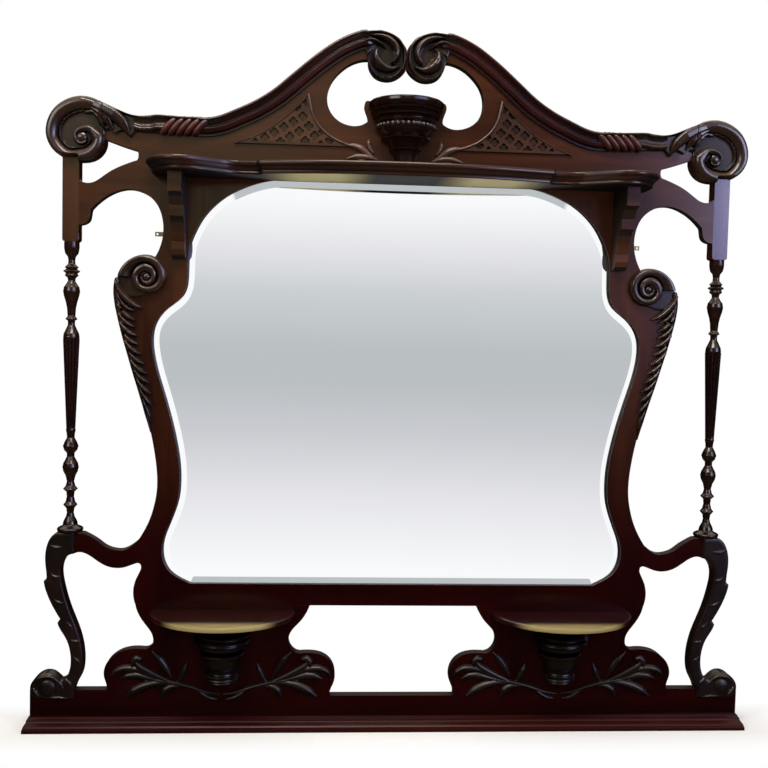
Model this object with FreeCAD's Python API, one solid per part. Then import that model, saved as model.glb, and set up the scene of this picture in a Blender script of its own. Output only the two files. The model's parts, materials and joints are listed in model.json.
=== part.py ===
import FreeCAD, Part
import math
import os

# A carved mahogany overmantel mirror: a shaped, bevelled glass in a frame of flat boards,
# with a swan-neck pediment, a moulded shelf, turned side columns on scroll legs,
# two small half-round shelves and a moulded base that rests on the mantel shelf.
# +Z is up and the front faces -Y. The front faces of the boards lie at y = 0.
# The origin is the middle of the underside, in the plane of the boards' front faces.

V = FreeCAD.Vector

# Overall sizes, mm. The outlines below are shares of these two.
base_length = 1480.0
overall_height = 1412.0
half_length = base_length / 2

# Glass and what holds it, front to back
sight_lip = 8.0
glass_thickness = 5.0
glass_edge_thickness = 3.0
bevel_width = 21.0
rebate_width = 9.0
glass_clearance = 2.0
block_thickness = 9.0
block_length = 60.0
block_width = 6.0
backboard_thickness = 8.0
backboard_lap = 18.0
backboard_joint = 1.0
board_thickness = sight_lip + glass_thickness + block_thickness
wall_plane = board_thickness + backboard_thickness

# Base moulding
base_height = 25.0
base_projection = 29.0
plinth_end_inset = 9.0

# Side posts, columns and caps
post_width = 32.0
column_set_back = 13.5
column_radius = 16.4
column_pin_radius = 6.0
column_pin_length = 12.0
pin_clearance = 0.1
cap_radius = 25.5
leg_front = 4.0
leg_thickness = 28.0

# Carved corner volutes, crest and centre scrolls
volute_radius = 78.0
volute_front = 14.0
volute_ridge = 10.0
volute_back = 22.0
ridge_width = 13.0
crest_relief = 16.0
strand_relief = 5.0
strand_width = 11.0
strand_pitch = 18.5
strand_slope = 14.0
strand_count = 4
centre_scroll_radius = 50.8
scroll_relief = 18.0
scroll_ridge = 6.0
scroll_ridge_width = 10.0

# Swan-neck moulding: widths across the band, and how far each strip stands out
neck_fillet_width = 5.0
neck_cove_width = 16.0
neck_bead_width = 7.0
neck_quirk_width = 5.0
neck_fillet_relief = 20.0
neck_cove_relief = 12.0
neck_bead_relief = 15.0
neck_quirk_relief = 6.0

# Stile carving
stile_scroll_radius = 57.0
stile_scroll_relief = 12.0
stile_ridge = 5.0
stile_ridge_width = 9.0
leaf_relief = 13.0
carving_overhang = 2.0

# Blind fret panels
fret_thickness = 5.0
fret_cut_depth = 3.5
fret_hole_radius = 3.4
fret_hole_spread = 3.6

# Centre half-round bracket
bowl_radius = 69.0
bowl_stilt = 17.0
bead_radius = 4.2
bead_count = 13

# Upper shelf
shelf_depth = 132.0
shelf_half_length = 506.0
shelf_top_thickness = 9.0
shelf_cove_thickness = 8.0
shelf_lower_thickness = 8.0
shelf_cove_inset = 6.0
shelf_lower_inset = 11.0
bracket_width = 26.0
bracket_depth = 90.0
bracket_height = 160.0

# Lower half-round shelves and their corbels
lower_shelf_depth = 124.0
lower_shelf_half_length = 146.0
lower_shelf_thickness = 10.0
lower_shelf_rounding = 2.5
corbel_radius = 62.0

# Sprays of leaves
spray_relief = 9.0
spray_leaf_width = 15.0
small_leaf_width = 11.0

# Dowels, screws and wall plates
dowel_radius = 4.75
dowel_length = 36.0
dowel_clearance = 0.1
dowel_end_gap = 1.0
dowel_set_back = 10.0
screw_radius = 2.0
screw_head_radius = 4.0
screw_head_height = 2.5
screw_slot_width = 0.9
screw_slot_depth = 1.0
screw_clearance = 0.1
screw_grip = 16.0
plate_thickness = 2.0
plate_height = 32.0
plate_arm = 26.0
plate_ear = 20.0
plate_ear_height = 9.0
plate_hole_radius = 2.25
plate_screw_spacing = 18.0

# One overrun for every cut that passes right through
overrun = 3.0
horn_gap = 1.0

# Heights of the joint lines and places of the main pieces, as shares of the two overall sizes
plinth_low_share = 0.0467
plinth_high_share = 0.0559
panel_top_share = 0.1799
rail_top_share = 0.2300
top_rail_low_share = 0.7744
pediment_low_share = 0.8385
stile_top_notch_share = 0.7082
stile_bottom_notch_share = 0.2266
stile_joint_share = 0.6514
spandrel_joint_share = 0.5770
rail_joint_share = 0.6014
stile_inside_share = 0.5300
spandrel_inside_share = 0.4324
leg_joint_share = 0.8716
panel_foot_share = 0.7831
arch_level_share = 0.6700
arm_low_share = 0.7366
arm_notch_share = 0.8216
column_place_share = 0.8865
post_bottom_share = 0.6933
post_top_share = 0.8109
cap_bottom_share = 0.2833
cap_top_share = 0.2945
volute_place_shares = (0.8527, 0.8378)
stile_scroll_place_shares = (0.6824, 0.6459)
centre_scroll_eye_share = 0.8270
strand_start_share = 0.5640
tongue_top_share = 0.9023
shelf_under_share = 0.7868
bracket_place_share = 0.5986
lower_shelf_place_shares = (0.4703, 0.1721)
bowl_top_share = 0.8994
crest_low_share = 0.8442

# Outlines of the right half, as shares of half the length and of the height

sight_edge_shares = (
    (0.3243, 0.7882), (0.3784, 0.7843), (0.4324, 0.7744), (0.4730, 0.7635), (0.5135, 0.7465),
    (0.5432, 0.7273), (0.5622, 0.7082), (0.5730, 0.6926), (0.5770, 0.6728), (0.5777, 0.6516),
    (0.5804, 0.6360), (0.5892, 0.6232), (0.6054, 0.6133), (0.6324, 0.6020), (0.6541, 0.5892),
    (0.6669, 0.5744), (0.6703, 0.5595), (0.6676, 0.5418), (0.6581, 0.5184), (0.6378, 0.4830),
    (0.6176, 0.4462), (0.6027, 0.4122), (0.5939, 0.3824), (0.5919, 0.3576), (0.5959, 0.3329),
    (0.6068, 0.3123), (0.6216, 0.2918), (0.6338, 0.2741), (0.6378, 0.2564), (0.6324, 0.2415),
    (0.6189, 0.2295), (0.5986, 0.2210), (0.5608, 0.2110),
)

stile_edge_shares = (
    (0.6635, 0.6749), (0.6959, 0.6721), (0.7230, 0.6671), (0.7419, 0.6593), (0.7554, 0.6473),
    (0.7635, 0.6346), (0.7669, 0.6204), (0.7649, 0.6020), (0.7554, 0.5765), (0.7392, 0.5482),
    (0.7203, 0.5184), (0.6986, 0.4816), (0.6797, 0.4476), (0.6662, 0.4178), (0.6568, 0.3895),
    (0.6520, 0.3647), (0.6527, 0.3435), (0.6588, 0.3244), (0.6689, 0.3059), (0.6824, 0.2897),
    (0.7027, 0.2720),
)

stile_foot_shares = (
    (0.7027, 0.2401), (0.6946, 0.2383), (0.6926, 0.2337), (0.6959, 0.2280), (0.7054, 0.2178),
    (0.7122, 0.2054), (0.7128, 0.1926), (0.7068, 0.1799),
)

arch_edge_shares = (
    (0.8324, 0.7387), (0.8081, 0.7514), (0.7770, 0.7620), (0.7338, 0.7681), (0.6932, 0.7631),
    (0.6635, 0.7507), (0.6473, 0.7330), (0.6426, 0.7125), (0.6486, 0.6926), (0.6635, 0.6749),
)

arch_bead_shares = (
    (0.8649, 0.7167), (0.8500, 0.7185), (0.8392, 0.7231), (0.8351, 0.7309), (0.8324, 0.7387),
)

gap_top_shares = (
    (0.8216, 0.8399), (0.7770, 0.8318), (0.7419, 0.8258), (0.7176, 0.8222),
)

gap_end_shares = (
    (0.7176, 0.8222), (0.7115, 0.8198), (0.7101, 0.8144), (0.7122, 0.8098), (0.7203, 0.8074),
)

gap_low_shares = (
    (0.7203, 0.8074), (0.7459, 0.8021), (0.7824, 0.7925), (0.8095, 0.7822), (0.8270, 0.7766),
    (0.8446, 0.7751), (0.8649, 0.7797),
)

crest_edge_shares = (
    (0.6514, 0.8686), (0.6757, 0.8672), (0.7027, 0.8665), (0.7365, 0.8693), (0.7595, 0.8736),
    (0.7865, 0.8796), (0.8162, 0.8856),
)

neck_edge_shares = (
    (0.5541, 0.8686), (0.5270, 0.8683), (0.4946, 0.8722), (0.4568, 0.8807), (0.4041, 0.8941),
    (0.3541, 0.9111), (0.3054, 0.9331), (0.2541, 0.9557), (0.2027, 0.9766), (0.1622, 0.9887),
    (0.1243, 0.9965),
)

horn_edge_shares = (
    (0.1243, 0.9965), (0.0973, 0.9982), (0.0703, 0.9979), (0.0459, 0.9954), (0.0243, 0.9901),
    (0.0095, 0.9830), (0.0000, 0.9745),
)

horn_under_shares = (
    (0.0000, 0.9497), (0.0122, 0.9412), (0.0270, 0.9356), (0.0446, 0.9324), (0.0622, 0.9324),
    (0.0797, 0.9352), (0.0932, 0.9412), (0.1014, 0.9490), (0.1041, 0.9596),
)

opening_edge_shares = (
    (0.1041, 0.9596), (0.1324, 0.9572), (0.1608, 0.9497), (0.1851, 0.9384), (0.2014, 0.9267),
    (0.2101, 0.9143), (0.2122, 0.9023), (0.2081, 0.8909), (0.1980, 0.8814), (0.1811, 0.8732),
    (0.1608, 0.8683), (0.1378, 0.8665), (0.1189, 0.8683), (0.1027, 0.8732),
)

tongue_edge_shares = (
    (0.1027, 0.8732), (0.1061, 0.8860), (0.1108, 0.8980), (0.1081, 0.9012), (0.1000, 0.9023),
)

arm_top_shares = (
    (0.8486, 0.2833), (0.8297, 0.2783), (0.8081, 0.2712), (0.7892, 0.2638), (0.7676, 0.2596),
    (0.7446, 0.2589), (0.7230, 0.2638), (0.7027, 0.2720),
)

arm_under_shares = (
    (0.8716, 0.2532), (0.8527, 0.2550), (0.8311, 0.2504), (0.8068, 0.2415), (0.7838, 0.2351),
    (0.7595, 0.2326), (0.7378, 0.2337), (0.7203, 0.2369), (0.7027, 0.2401),
)

leg_outer_top_shares = (
    (0.9176, 0.2833), (0.9324, 0.2769), (0.9419, 0.2670), (0.9473, 0.2535), (0.9473, 0.2394),
    (0.9446, 0.2266), (0.9439, 0.2174),
)

leg_outer_mid_shares = (
    (0.9514, 0.2139), (0.9486, 0.2054), (0.9405, 0.1926), (0.9297, 0.1799), (0.9074, 0.1593),
)

leg_outer_low_shares = (
    (0.9145, 0.1537), (0.9081, 0.1452), (0.8932, 0.1324), (0.8824, 0.1169), (0.8784, 0.1006),
    (0.8818, 0.0844), (0.8912, 0.0743), (0.9054, 0.0699),
)

foot_scroll_shares = (
    (0.9054, 0.0699), (0.9142, 0.0744), (0.9250, 0.0788), (0.9392, 0.0811), (0.9568, 0.0795),
    (0.9723, 0.0738), (0.9838, 0.0655), (0.9865, 0.0567), (0.9824, 0.0496), (0.9703, 0.0450),
    (0.9459, 0.0436),
)

leg_inner_shares = (
    (0.8689, 0.0559), (0.8622, 0.0659), (0.8520, 0.0765), (0.8466, 0.0892), (0.8459, 0.1020),
    (0.8480, 0.1147), (0.8534, 0.1292), (0.8642, 0.1473), (0.8791, 0.1671), (0.8919, 0.1866),
    (0.9014, 0.2061), (0.9068, 0.2238), (0.9034, 0.2387), (0.8919, 0.2486), (0.8716, 0.2532),
)

panel_outer_shares = (
    (0.7068, 0.1799), (0.7014, 0.1700), (0.6905, 0.1593), (0.6757, 0.1487), (0.6635, 0.1395),
    (0.6581, 0.1303), (0.6608, 0.1218), (0.6703, 0.1169), (0.6838, 0.1154),
)

panel_lobe_shares = (
    (0.6838, 0.1154), (0.7203, 0.1154), (0.7432, 0.1123), (0.7649, 0.1055), (0.7811, 0.0963),
    (0.7899, 0.0843), (0.7892, 0.0744), (0.7831, 0.0644), (0.7831, 0.0559),
)

panel_inner_shares = (
    (0.2324, 0.1799), (0.2405, 0.1700), (0.2554, 0.1579), (0.2743, 0.1473), (0.2865, 0.1374),
    (0.2892, 0.1282), (0.2824, 0.1176), (0.2689, 0.1112), (0.2514, 0.1098),
)

panel_inner_lobe_shares = (
    (0.2514, 0.1098), (0.2162, 0.1094), (0.1932, 0.1059), (0.1743, 0.0984), (0.1628, 0.0878),
    (0.1595, 0.0765), (0.1635, 0.0652), (0.1716, 0.0552), (0.1724, 0.0467),
)

leaf_top_shares = (
    (0.5541, 0.8693), (0.5946, 0.8693), (0.6419, 0.8704), (0.6622, 0.8704), (0.7027, 0.8679),
    (0.7365, 0.8708), (0.7595, 0.8754), (0.7865, 0.8817), (0.8068, 0.8858),
)

leaf_under_shares = (
    (0.8068, 0.8470), (0.8000, 0.8449), (0.7865, 0.8492), (0.7703, 0.8428), (0.7514, 0.8477),
    (0.7311, 0.8385), (0.7162, 0.8470),
)

stile_leaf_outer_shares = (
    (0.7500, 0.6324), (0.7716, 0.6232), (0.7696, 0.6020), (0.7581, 0.5765), (0.7426, 0.5489),
    (0.7211, 0.5170), (0.7014, 0.4816), (0.6824, 0.4476), (0.6716, 0.4278),
)

stile_leaf_inner_shares = (
    (0.6716, 0.4278), (0.6716, 0.4533), (0.6703, 0.4738), (0.6905, 0.4887), (0.6838, 0.5028),
    (0.7081, 0.5149), (0.7014, 0.5283), (0.7162, 0.5397), (0.7081, 0.5531), (0.7203, 0.5644),
    (0.7095, 0.5744), (0.7176, 0.5885), (0.6959, 0.5999), (0.7027, 0.6147), (0.6824, 0.6254),
)

fret_hyp_shares = (
    (0.4581, 0.8371), (0.4081, 0.8477), (0.3689, 0.8591), (0.3291, 0.8746), (0.2892, 0.8938),
    (0.2635, 0.9093),
)

fret_side_shares = (
    (0.2635, 0.9093), (0.2581, 0.8938), (0.2486, 0.8782), (0.2311, 0.8633), (0.2027, 0.8506),
    (0.1730, 0.8428), (0.1459, 0.8371),
)

# Turned profiles: (height share from bottom to top, radius share of the largest radius)
column_profile_shares = (
    (0.0000, 0.90), (0.0105, 0.79), (0.0266, 0.51), (0.0399, 0.41), (0.0559, 0.49),
    (0.0684, 0.83), (0.0791, 0.57), (0.0969, 0.43), (0.1147, 0.49), (0.1254, 0.86),
    (0.1361, 0.57), (0.1521, 0.43), (0.1717, 0.58), (0.1895, 0.87), (0.2038, 0.96),
    (0.2171, 0.87), (0.2296, 0.64), (0.2411, 0.45), (0.2536, 0.46), (0.2643, 0.77),
    (0.2785, 0.92), (0.2928, 0.74), (0.3090, 0.45), (0.3233, 0.49), (0.3357, 0.57),
    (0.4336, 0.72), (0.5316, 0.79), (0.6634, 0.96), (0.6776, 0.90), (0.6936, 0.64),
    (0.7079, 0.43), (0.7221, 0.43), (0.7293, 0.70), (0.7400, 0.46), (0.7685, 0.53),
    (0.7899, 0.68), (0.8113, 0.90), (0.8273, 0.99), (0.8415, 0.90), (0.8531, 0.63),
    (0.8638, 0.43), (0.8736, 0.48), (0.8825, 0.80), (0.8896, 0.69), (0.8976, 1.00),
    (0.9056, 0.64), (0.9110, 0.80), (0.9234, 0.43), (0.9359, 0.40), (0.9484, 0.48),
    (0.9591, 0.76), (0.9680, 0.84), (0.9805, 0.90), (1.0000, 0.90),
)
cap_profile_shares = (
    (0.00, 0.80), (0.18, 0.98), (0.40, 1.00), (0.62, 0.84), (0.80, 0.62), (1.00, 0.52),
)
bowl_profile_shares = (
    (0.000, 0.20), (0.100, 0.22), (0.250, 0.25), (0.350, 0.27), (0.360, 0.40), (0.400, 0.52),
    (0.470, 0.62), (0.500, 0.76), (0.560, 0.79), (0.620, 0.75), (0.650, 0.70), (0.745, 0.70),
    (0.760, 0.76), (0.800, 0.78), (0.840, 0.82), (0.860, 0.89), (0.900, 0.90), (0.915, 0.96),
    (0.945, 0.99), (0.980, 1.00), (1.000, 0.97),
)
bead_row_share = 0.6950
corbel_profile_shares = (
    (0.00, 0.08), (0.04, 0.20), (0.09, 0.22), (0.13, 0.16), (0.20, 0.26), (0.40, 0.50),
    (0.56, 0.66), (0.60, 0.66), (0.62, 0.78), (0.68, 0.80), (0.72, 0.70), (0.80, 0.74),
    (0.90, 0.90), (0.94, 1.00), (1.00, 1.00),
)
corbel_bottom_share = 0.0708

# Scroll outlines: radius shares of the scroll's own radius, one for each 30 degrees from
# the top, outwards and down. The corner volute's table starts one step before the top.
volute_radius_shares = (0.962, 1.00, 0.985, 0.95, 0.90, 0.80, 0.67, 0.61, 0.60, 0.58, 0.54)
stile_radius_shares = (0.79, 0.83, 0.91, 1.02, 1.05, 0.80, 0.58, 0.59, 0.61, 0.67, 0.71, 0.75)
centre_radius_shares = (
    0.951, 1.039, 1.005, 0.761, 0.761, 0.839, 0.898, 0.907, 0.859, 0.797, 0.829, 0.907,
)
foot_eye_shares = (0.9405, 0.0595)
foot_ridge_share = 0.0170

# The base moulding: (projection share, height share) from the front foot to the top
base_profile_shares = (
    (1.00, 0.00), (1.00, 0.28), (0.90, 0.30), (0.90, 0.38), (0.80, 0.50), (0.62, 0.60),
    (0.50, 0.66), (0.44, 0.76), (0.44, 0.84), (0.30, 0.90), (0.20, 1.00),
)

# The upper shelf's front edge: (half-length share, depth share) from the end to the middle
shelf_front_shares = (
    (0.995, 0.30), (0.985, 0.55), (0.950, 0.80), (0.890, 0.95), (0.820, 0.93), (0.750, 0.77),
    (0.690, 0.62), (0.640, 0.57), (0.575, 0.575),
)
shelf_bow_shares = ((0.560, 0.70), (0.450, 0.80), (0.300, 0.92), (0.150, 0.98), (0.000, 1.00))

# The shelf bracket's front edge: (depth share, height share below the shelf)
bracket_steps_shares = (
    (1.00, 0.00), (1.00, 0.24), (0.95, 0.24), (0.80, 0.28), (0.70, 0.34), (0.64, 0.38),
    (0.66, 0.38), (0.66, 0.51), (0.58, 0.51), (0.44, 0.58), (0.34, 0.68), (0.27, 0.80),
    (0.29, 0.81), (0.29, 0.90), (0.24, 0.96), (0.12, 1.00), (0.00, 1.00),
)

# Places of the quatrefoil cuts in the fret, right half
fret_place_shares = (
    (0.3811, 0.8442), (0.3405, 0.8442), (0.2730, 0.8442), (0.2081, 0.8442), (0.3135, 0.8499),
    (0.2459, 0.8499), (0.3527, 0.8562), (0.2851, 0.8562), (0.2257, 0.8562), (0.3270, 0.8647),
    (0.2595, 0.8647), (0.3027, 0.8718), (0.2757, 0.8789), (0.2851, 0.8881),
)

# Leaves of the sprays: root, bend and tip of each leaf, right half
lower_spray_shares = (
    ((0.6108, 0.0694), (0.6700, 0.0860), (0.7054, 0.1041)),
    ((0.6108, 0.0680), (0.6900, 0.0800), (0.7446, 0.0900)),
    ((0.6108, 0.0660), (0.6850, 0.0690), (0.7216, 0.0531)),
    ((0.5700, 0.0620), (0.6000, 0.0560), (0.6324, 0.0600)),
    ((0.5800, 0.0700), (0.5900, 0.0850), (0.6250, 0.0960)),
    ((0.3300, 0.0694), (0.2700, 0.0830), (0.2324, 0.0942)),
    ((0.3300, 0.0680), (0.2500, 0.0730), (0.1811, 0.0751)),
    ((0.3300, 0.0660), (0.2700, 0.0600), (0.2270, 0.0432)),
    ((0.3700, 0.0620), (0.3300, 0.0580), (0.3068, 0.0431)),
    ((0.3600, 0.0700), (0.3450, 0.0850), (0.3100, 0.0960)),
)
centre_spray_shares = (
    ((0.0800, 0.8215), (0.1200, 0.8290), (0.1520, 0.8430)),
    ((0.0850, 0.8195), (0.1250, 0.8235), (0.1640, 0.8225)),
    ((0.0800, 0.8215), (0.1000, 0.8300), (0.1150, 0.8370)),
)

# Dowels: where each one crosses its joint
upright_dowel_shares = (
    (0.6000, 0.7744), (0.6300, 0.7744), (0.5300, 0.7744), (0.6600, 0.1799), (0.6870, 0.1799),
    (0.5300, 0.1799), (0.3400, 0.1799), (0.2700, 0.0467), (0.4700, 0.0467), (0.7000, 0.0467),
    (0.0800, 0.8385), (0.2400, 0.8385), (0.4500, 0.8385), (0.6100, 0.8385), (0.8950, 0.0559),
    (0.8865, 0.8109),
)
level_dowel_shares = (
    (0.6014, 0.1870), (0.6014, 0.1970), (0.6514, 0.7930), (0.6514, 0.8200), (0.5770, 0.7400),
    (0.5770, 0.7530), (0.7027, 0.2463), (0.7027, 0.2557), (0.8716, 0.2610), (0.7990, 0.8605),
)
post_dowel_shares = (0.7300, 0.7500)
base_dowel_shares = (0.0000, 0.2500, 0.5000, 0.7500, 0.9000)

# Screws driven from the back into what stands in front of the boards
shelf_screw_shares = ((0.4054, 0.7960), (0.6120, 0.7960))
bracket_screw_shares = ((0.5986, 0.7250), (0.5986, 0.6950))
lower_screw_shares = ((0.3700, 0.1685), (0.5700, 0.1685), (0.4703, 0.1450), (0.4703, 0.1150))
bowl_screw_shares = ((0.0000, 0.8880), (0.0000, 0.8500))
plate_place_share = 0.7086
plate_edge_share = 0.6430

# The blocks behind the glass: along its top and bottom, and up its sides
block_row_shares = (-0.40, -0.20, 0.00, 0.20, 0.40)
block_side_shares = (0.2550, 0.3600, 0.4500, 0.5550, 0.6650)
backboard_joint_shares = (0.4000, 0.6000)
backboard_screw_points = (0, 3, 7, 11, 15, 19, 23, 27, 31)


def place(shares, y=0):
    """A point on the flat drawing of the frame, from its two shares."""
    return V(shares[0] * half_length, y, shares[1] * overall_height)


def flip(shape):
    """The same piece on the other side of the middle."""
    return shape.mirror(V(0, 0, 0), V(1, 0, 0))


def flip_point(point):
    return V(-point.x, point.y, point.z)


def curve(points, closed=False):
    """A smooth edge through the points."""
    spline = Part.BSplineCurve()
    spline.interpolate(points, PeriodicFlag=closed)
    return spline.toShape()


def straight(points):
    return [Part.LineSegment(a, b).toShape() for a, b in zip(points, points[1:])]


def bend(shares):
    return [curve([place(pair) for pair in shares])]


def run(*shares):
    return straight([place(pair) for pair in shares])


def slab(edges, front, back):
    """A flat piece: the closed outline made solid from y = front to y = back."""
    face = Part.Face(Part.Wire(Part.__sortEdges__(edges)))
    face.translate(V(0, front, 0))
    return face.extrude(V(0, back - front, 0))


def block(x_low, x_high, y_low, y_high, z_low, z_high):
    corner = V(x_low, y_low, z_low)
    return Part.makeBox(x_high - x_low, y_high - y_low, z_high - z_low, corner)


def offset_points(points, distance):
    """The points of a smooth edge, moved to the left of its direction."""
    spline = Part.BSplineCurve()
    spline.interpolate(points)
    moved = []
    for point in points:
        along = spline.getD1(spline.parameter(point))[1].normalize()
        moved.append(point + V(-along.z, 0, along.x) * distance)
    return moved


def fused(shapes):
    """One solid from pieces that overlap or share faces."""
    first, rest = shapes[0], shapes[1:]
    return first.fuse(rest).removeSplitter() if rest else first


def drilled(shape, holes):
    """The piece with every hole that reaches it."""
    cutters = [hole for hole in holes if shape.BoundBox.intersect(hole.BoundBox)]
    return shape.cut(Part.makeCompound(cutters)) if cutters else shape


def polar(eye, radius, angle):
    """A point round an eye, the angle measured from the top, outwards and down."""
    return V(eye.x + radius * math.sin(angle), eye.y, eye.z + radius * math.cos(angle))


def ring_points(eye, radius, shares, first=0):
    step = math.pi / 6
    return [polar(eye, radius * share, step * (first + n)) for n, share in enumerate(shares)]


def spiral_ridge(eye, radii, turns, width, front, back):
    """A raised band that winds in from the top of a scroll, outwards and down."""
    steps = 16
    count = int(steps * turns)
    outer = []
    inner = []
    for n in range(count + 1):
        way = n / count
        radius = radii[0] * (radii[1] / radii[0]) ** way
        half = width * (1 - way / 2) / 2
        angle = 2 * math.pi * turns * way
        outer.append(polar(eye, radius + half, angle))
        inner.append(polar(eye, radius - half, angle))
    ends = straight([outer[0], inner[0]]) + straight([outer[-1], inner[-1]])
    return slab([curve(outer), curve(inner)] + ends, front, back)


def sight_slab(offset, front, back):
    """The shape of the glass opening, grown by an offset, as a solid."""
    points = offset_points([place(pair) for pair in sight_edge_shares], offset)
    return slab(sight_edges(points), front, back)


def sight_edges(points):
    side = curve(points)
    top = straight([flip_point(points[0]), points[0]])
    bottom = straight([points[-1], flip_point(points[-1])])
    return [side] + bottom + [flip(side)] + top


def frame_opening():
    """What the frame boards lose: the sight opening and the rebate behind it."""
    back = board_thickness + overrun
    sight = sight_slab(0, -overrun, back)
    rebate = sight_slab(rebate_width, sight_lip, back)
    return sight.fuse(rebate)


def column_axis_x():
    return column_place_share * half_length


def level(share):
    return share * overall_height


def post_box(grow=0):
    x = column_axis_x()
    half = post_width / 2 + grow
    return block(x - half, x + half, -grow, wall_plane + grow,
                 level(post_bottom_share), level(post_top_share))


def post_block():
    """The upright block that the column hangs from, with its lower corners rounded."""
    box = post_box()
    low = [edge for edge in box.Edges
           if edge.BoundBox.ZMax < level(post_bottom_share) + overrun
           and edge.BoundBox.YLength > post_width / 2]
    return box.makeFillet(post_width / 6, low)


def column_bottom():
    return level(cap_top_share)


def column():
    """A turned column with a pin at each end."""
    height = level(post_bottom_share) - column_bottom()
    points = [V(column_radius * radius, 0, column_bottom() + height * rise)
              for rise, radius in column_profile_shares]
    top = V(0, 0, points[-1].z)
    bottom = V(0, 0, points[0].z)
    edges = straight([bottom] + points + [top, bottom])
    body = Part.Face(Part.Wire(edges)).revolve(V(0, 0, 0), V(0, 0, 1), 360)
    pin_top = Part.makeCylinder(column_pin_radius, column_pin_length, top)
    reach = column_bottom() - level(cap_bottom_share) + column_pin_length
    pin_low = Part.makeCylinder(column_pin_radius, reach, bottom - V(0, 0, reach))
    body = fused([body, pin_top, pin_low])
    body.translate(V(column_axis_x(), column_set_back, 0))
    return body


def column_holes():
    """The bores for the column's two pins."""
    radius = column_pin_radius + pin_clearance
    reach = column_bottom() - level(cap_bottom_share) + column_pin_length + pin_clearance
    x = column_axis_x()
    top = V(x, column_set_back, level(post_bottom_share))
    low = V(x, column_set_back, column_bottom() - reach)
    return [Part.makeCylinder(radius, column_pin_length + pin_clearance, top),
            Part.makeCylinder(radius, reach, low)]


def column_cap():
    """The leafy collar under the column, flat at the back where it meets the wall."""
    height = level(cap_top_share) - level(cap_bottom_share)
    points = [V(cap_radius * radius, 0, height * rise) for rise, radius in cap_profile_shares]
    edges = [curve(points)] + straight([points[-1], V(0, 0, height), V(0, 0, 0), points[0]])
    face = Part.Face(Part.Wire(Part.__sortEdges__(edges)))
    body = face.revolve(V(0, 0, 0), V(0, 0, 1), 360)
    body.translate(V(column_axis_x(), column_set_back, level(cap_bottom_share)))
    wall = block(0, base_length, wall_plane, wall_plane + base_length, 0, overall_height)
    return body.cut(wall)


def volute_eye():
    return place(volute_place_shares)


def volute_slab(front):
    """The volute's outline from its rear face forward to the given distance."""
    points = ring_points(volute_eye(), volute_radius, volute_radius_shares, -1)
    edges = [curve(points)] + straight([points[-1], points[0]])
    return slab(edges, -front, volute_back)


def corner_volute():
    """The carved corner scroll: a solid round with a spiral ridge and a ball at its eye."""
    eye = volute_eye()
    body = volute_slab(volute_front)
    ridge_radii = (volute_radius - ridge_width, volute_radius / 4)
    ridge = spiral_ridge(eye, ridge_radii, 7 / 4, ridge_width,
                         -volute_front - volute_ridge, -volute_front)
    ball = Part.makeSphere(volute_radius / 5, V(eye.x, -volute_front, eye.z))
    body = fused([body, ridge, ball])
    return body.cut(post_box())


def arch_slab():
    """The space under the arch, as a cutter."""
    start = (column_place_share, arch_bead_shares[0][1])
    foot = (arch_edge_shares[-1][0], arch_level_share)
    corner = (column_place_share, arch_level_share)
    edges = run(start, arch_bead_shares[0]) + bend(arch_bead_shares) + bend(arch_edge_shares)
    edges += run(arch_edge_shares[-1], foot, corner, start)
    return slab(edges, -overrun, board_thickness + overrun)


def gap_slab():
    """The three-cornered gap between the post, the arch and the scroll."""
    low = (column_place_share, gap_low_shares[-1][1])
    high = (column_place_share, volute_place_shares[1])
    edges = bend(gap_top_shares) + bend(gap_end_shares) + bend(gap_low_shares)
    edges += run(gap_low_shares[-1], low, high, gap_top_shares[0])
    return slab(edges, -overrun, board_thickness + overrun)


def arch_arm(volute):
    """The flat board that carries the scroll and meets the post."""
    edges = bend(crest_edge_shares)
    edges += run(crest_edge_shares[-1], volute_place_shares,
                 (column_place_share, post_top_share), (column_place_share, arch_level_share),
                 (arm_notch_share, arch_level_share), (arm_notch_share, arm_low_share),
                 (stile_joint_share, arm_low_share), crest_edge_shares[0])
    board = slab(edges, 0, board_thickness)
    return board.cut([arch_slab(), gap_slab(), post_box(), volute])


def stile(opening):
    """The shaped upright beside the glass."""
    edges = bend(stile_edge_shares) + bend(stile_foot_shares)
    edges += run(stile_edge_shares[-1], stile_foot_shares[0])
    edges += run(stile_foot_shares[-1], (rail_joint_share, panel_top_share),
                 (rail_joint_share, stile_bottom_notch_share),
                 (stile_inside_share, stile_bottom_notch_share),
                 (stile_inside_share, stile_top_notch_share),
                 (spandrel_joint_share, stile_top_notch_share),
                 (spandrel_joint_share, top_rail_low_share),
                 (stile_joint_share, top_rail_low_share),
                 (stile_joint_share, arm_low_share), stile_edge_shares[0])
    return slab(edges, 0, board_thickness).cut([opening, arch_slab()])


def board_block(x_share, z_low_share, z_high_share, x_start_share=None):
    """A straight board of the frame, or a centred one where no start is given."""
    x_high = x_share * half_length
    x_low = -x_high if x_start_share is None else x_start_share * half_length
    return block(x_low, x_high, 0, board_thickness, level(z_low_share), level(z_high_share))


def spandrel(opening):
    board = board_block(spandrel_joint_share, stile_top_notch_share, top_rail_low_share,
                        spandrel_inside_share)
    return board.cut(opening)


def top_rail(opening):
    return board_block(stile_joint_share, top_rail_low_share, pediment_low_share).cut(opening)


def bottom_rail(opening):
    return board_block(rail_joint_share, panel_top_share, rail_top_share).cut(opening)


def pediment_slab():
    """The space between the two horns, with the tongue left standing behind the bracket."""
    side = bend(horn_under_shares) + bend(opening_edge_shares) + bend(tongue_edge_shares)
    side += run(tongue_edge_shares[-1], (0, tongue_edge_shares[-1][1]))
    edges = side + [flip(edge) for edge in side]
    return slab(edges, -overrun, board_thickness + overrun)


def horn_gap_block():
    return block(-horn_gap / 2, horn_gap / 2, -overall_height, overall_height,
                 level(tongue_top_share), overall_height + overrun)


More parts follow.
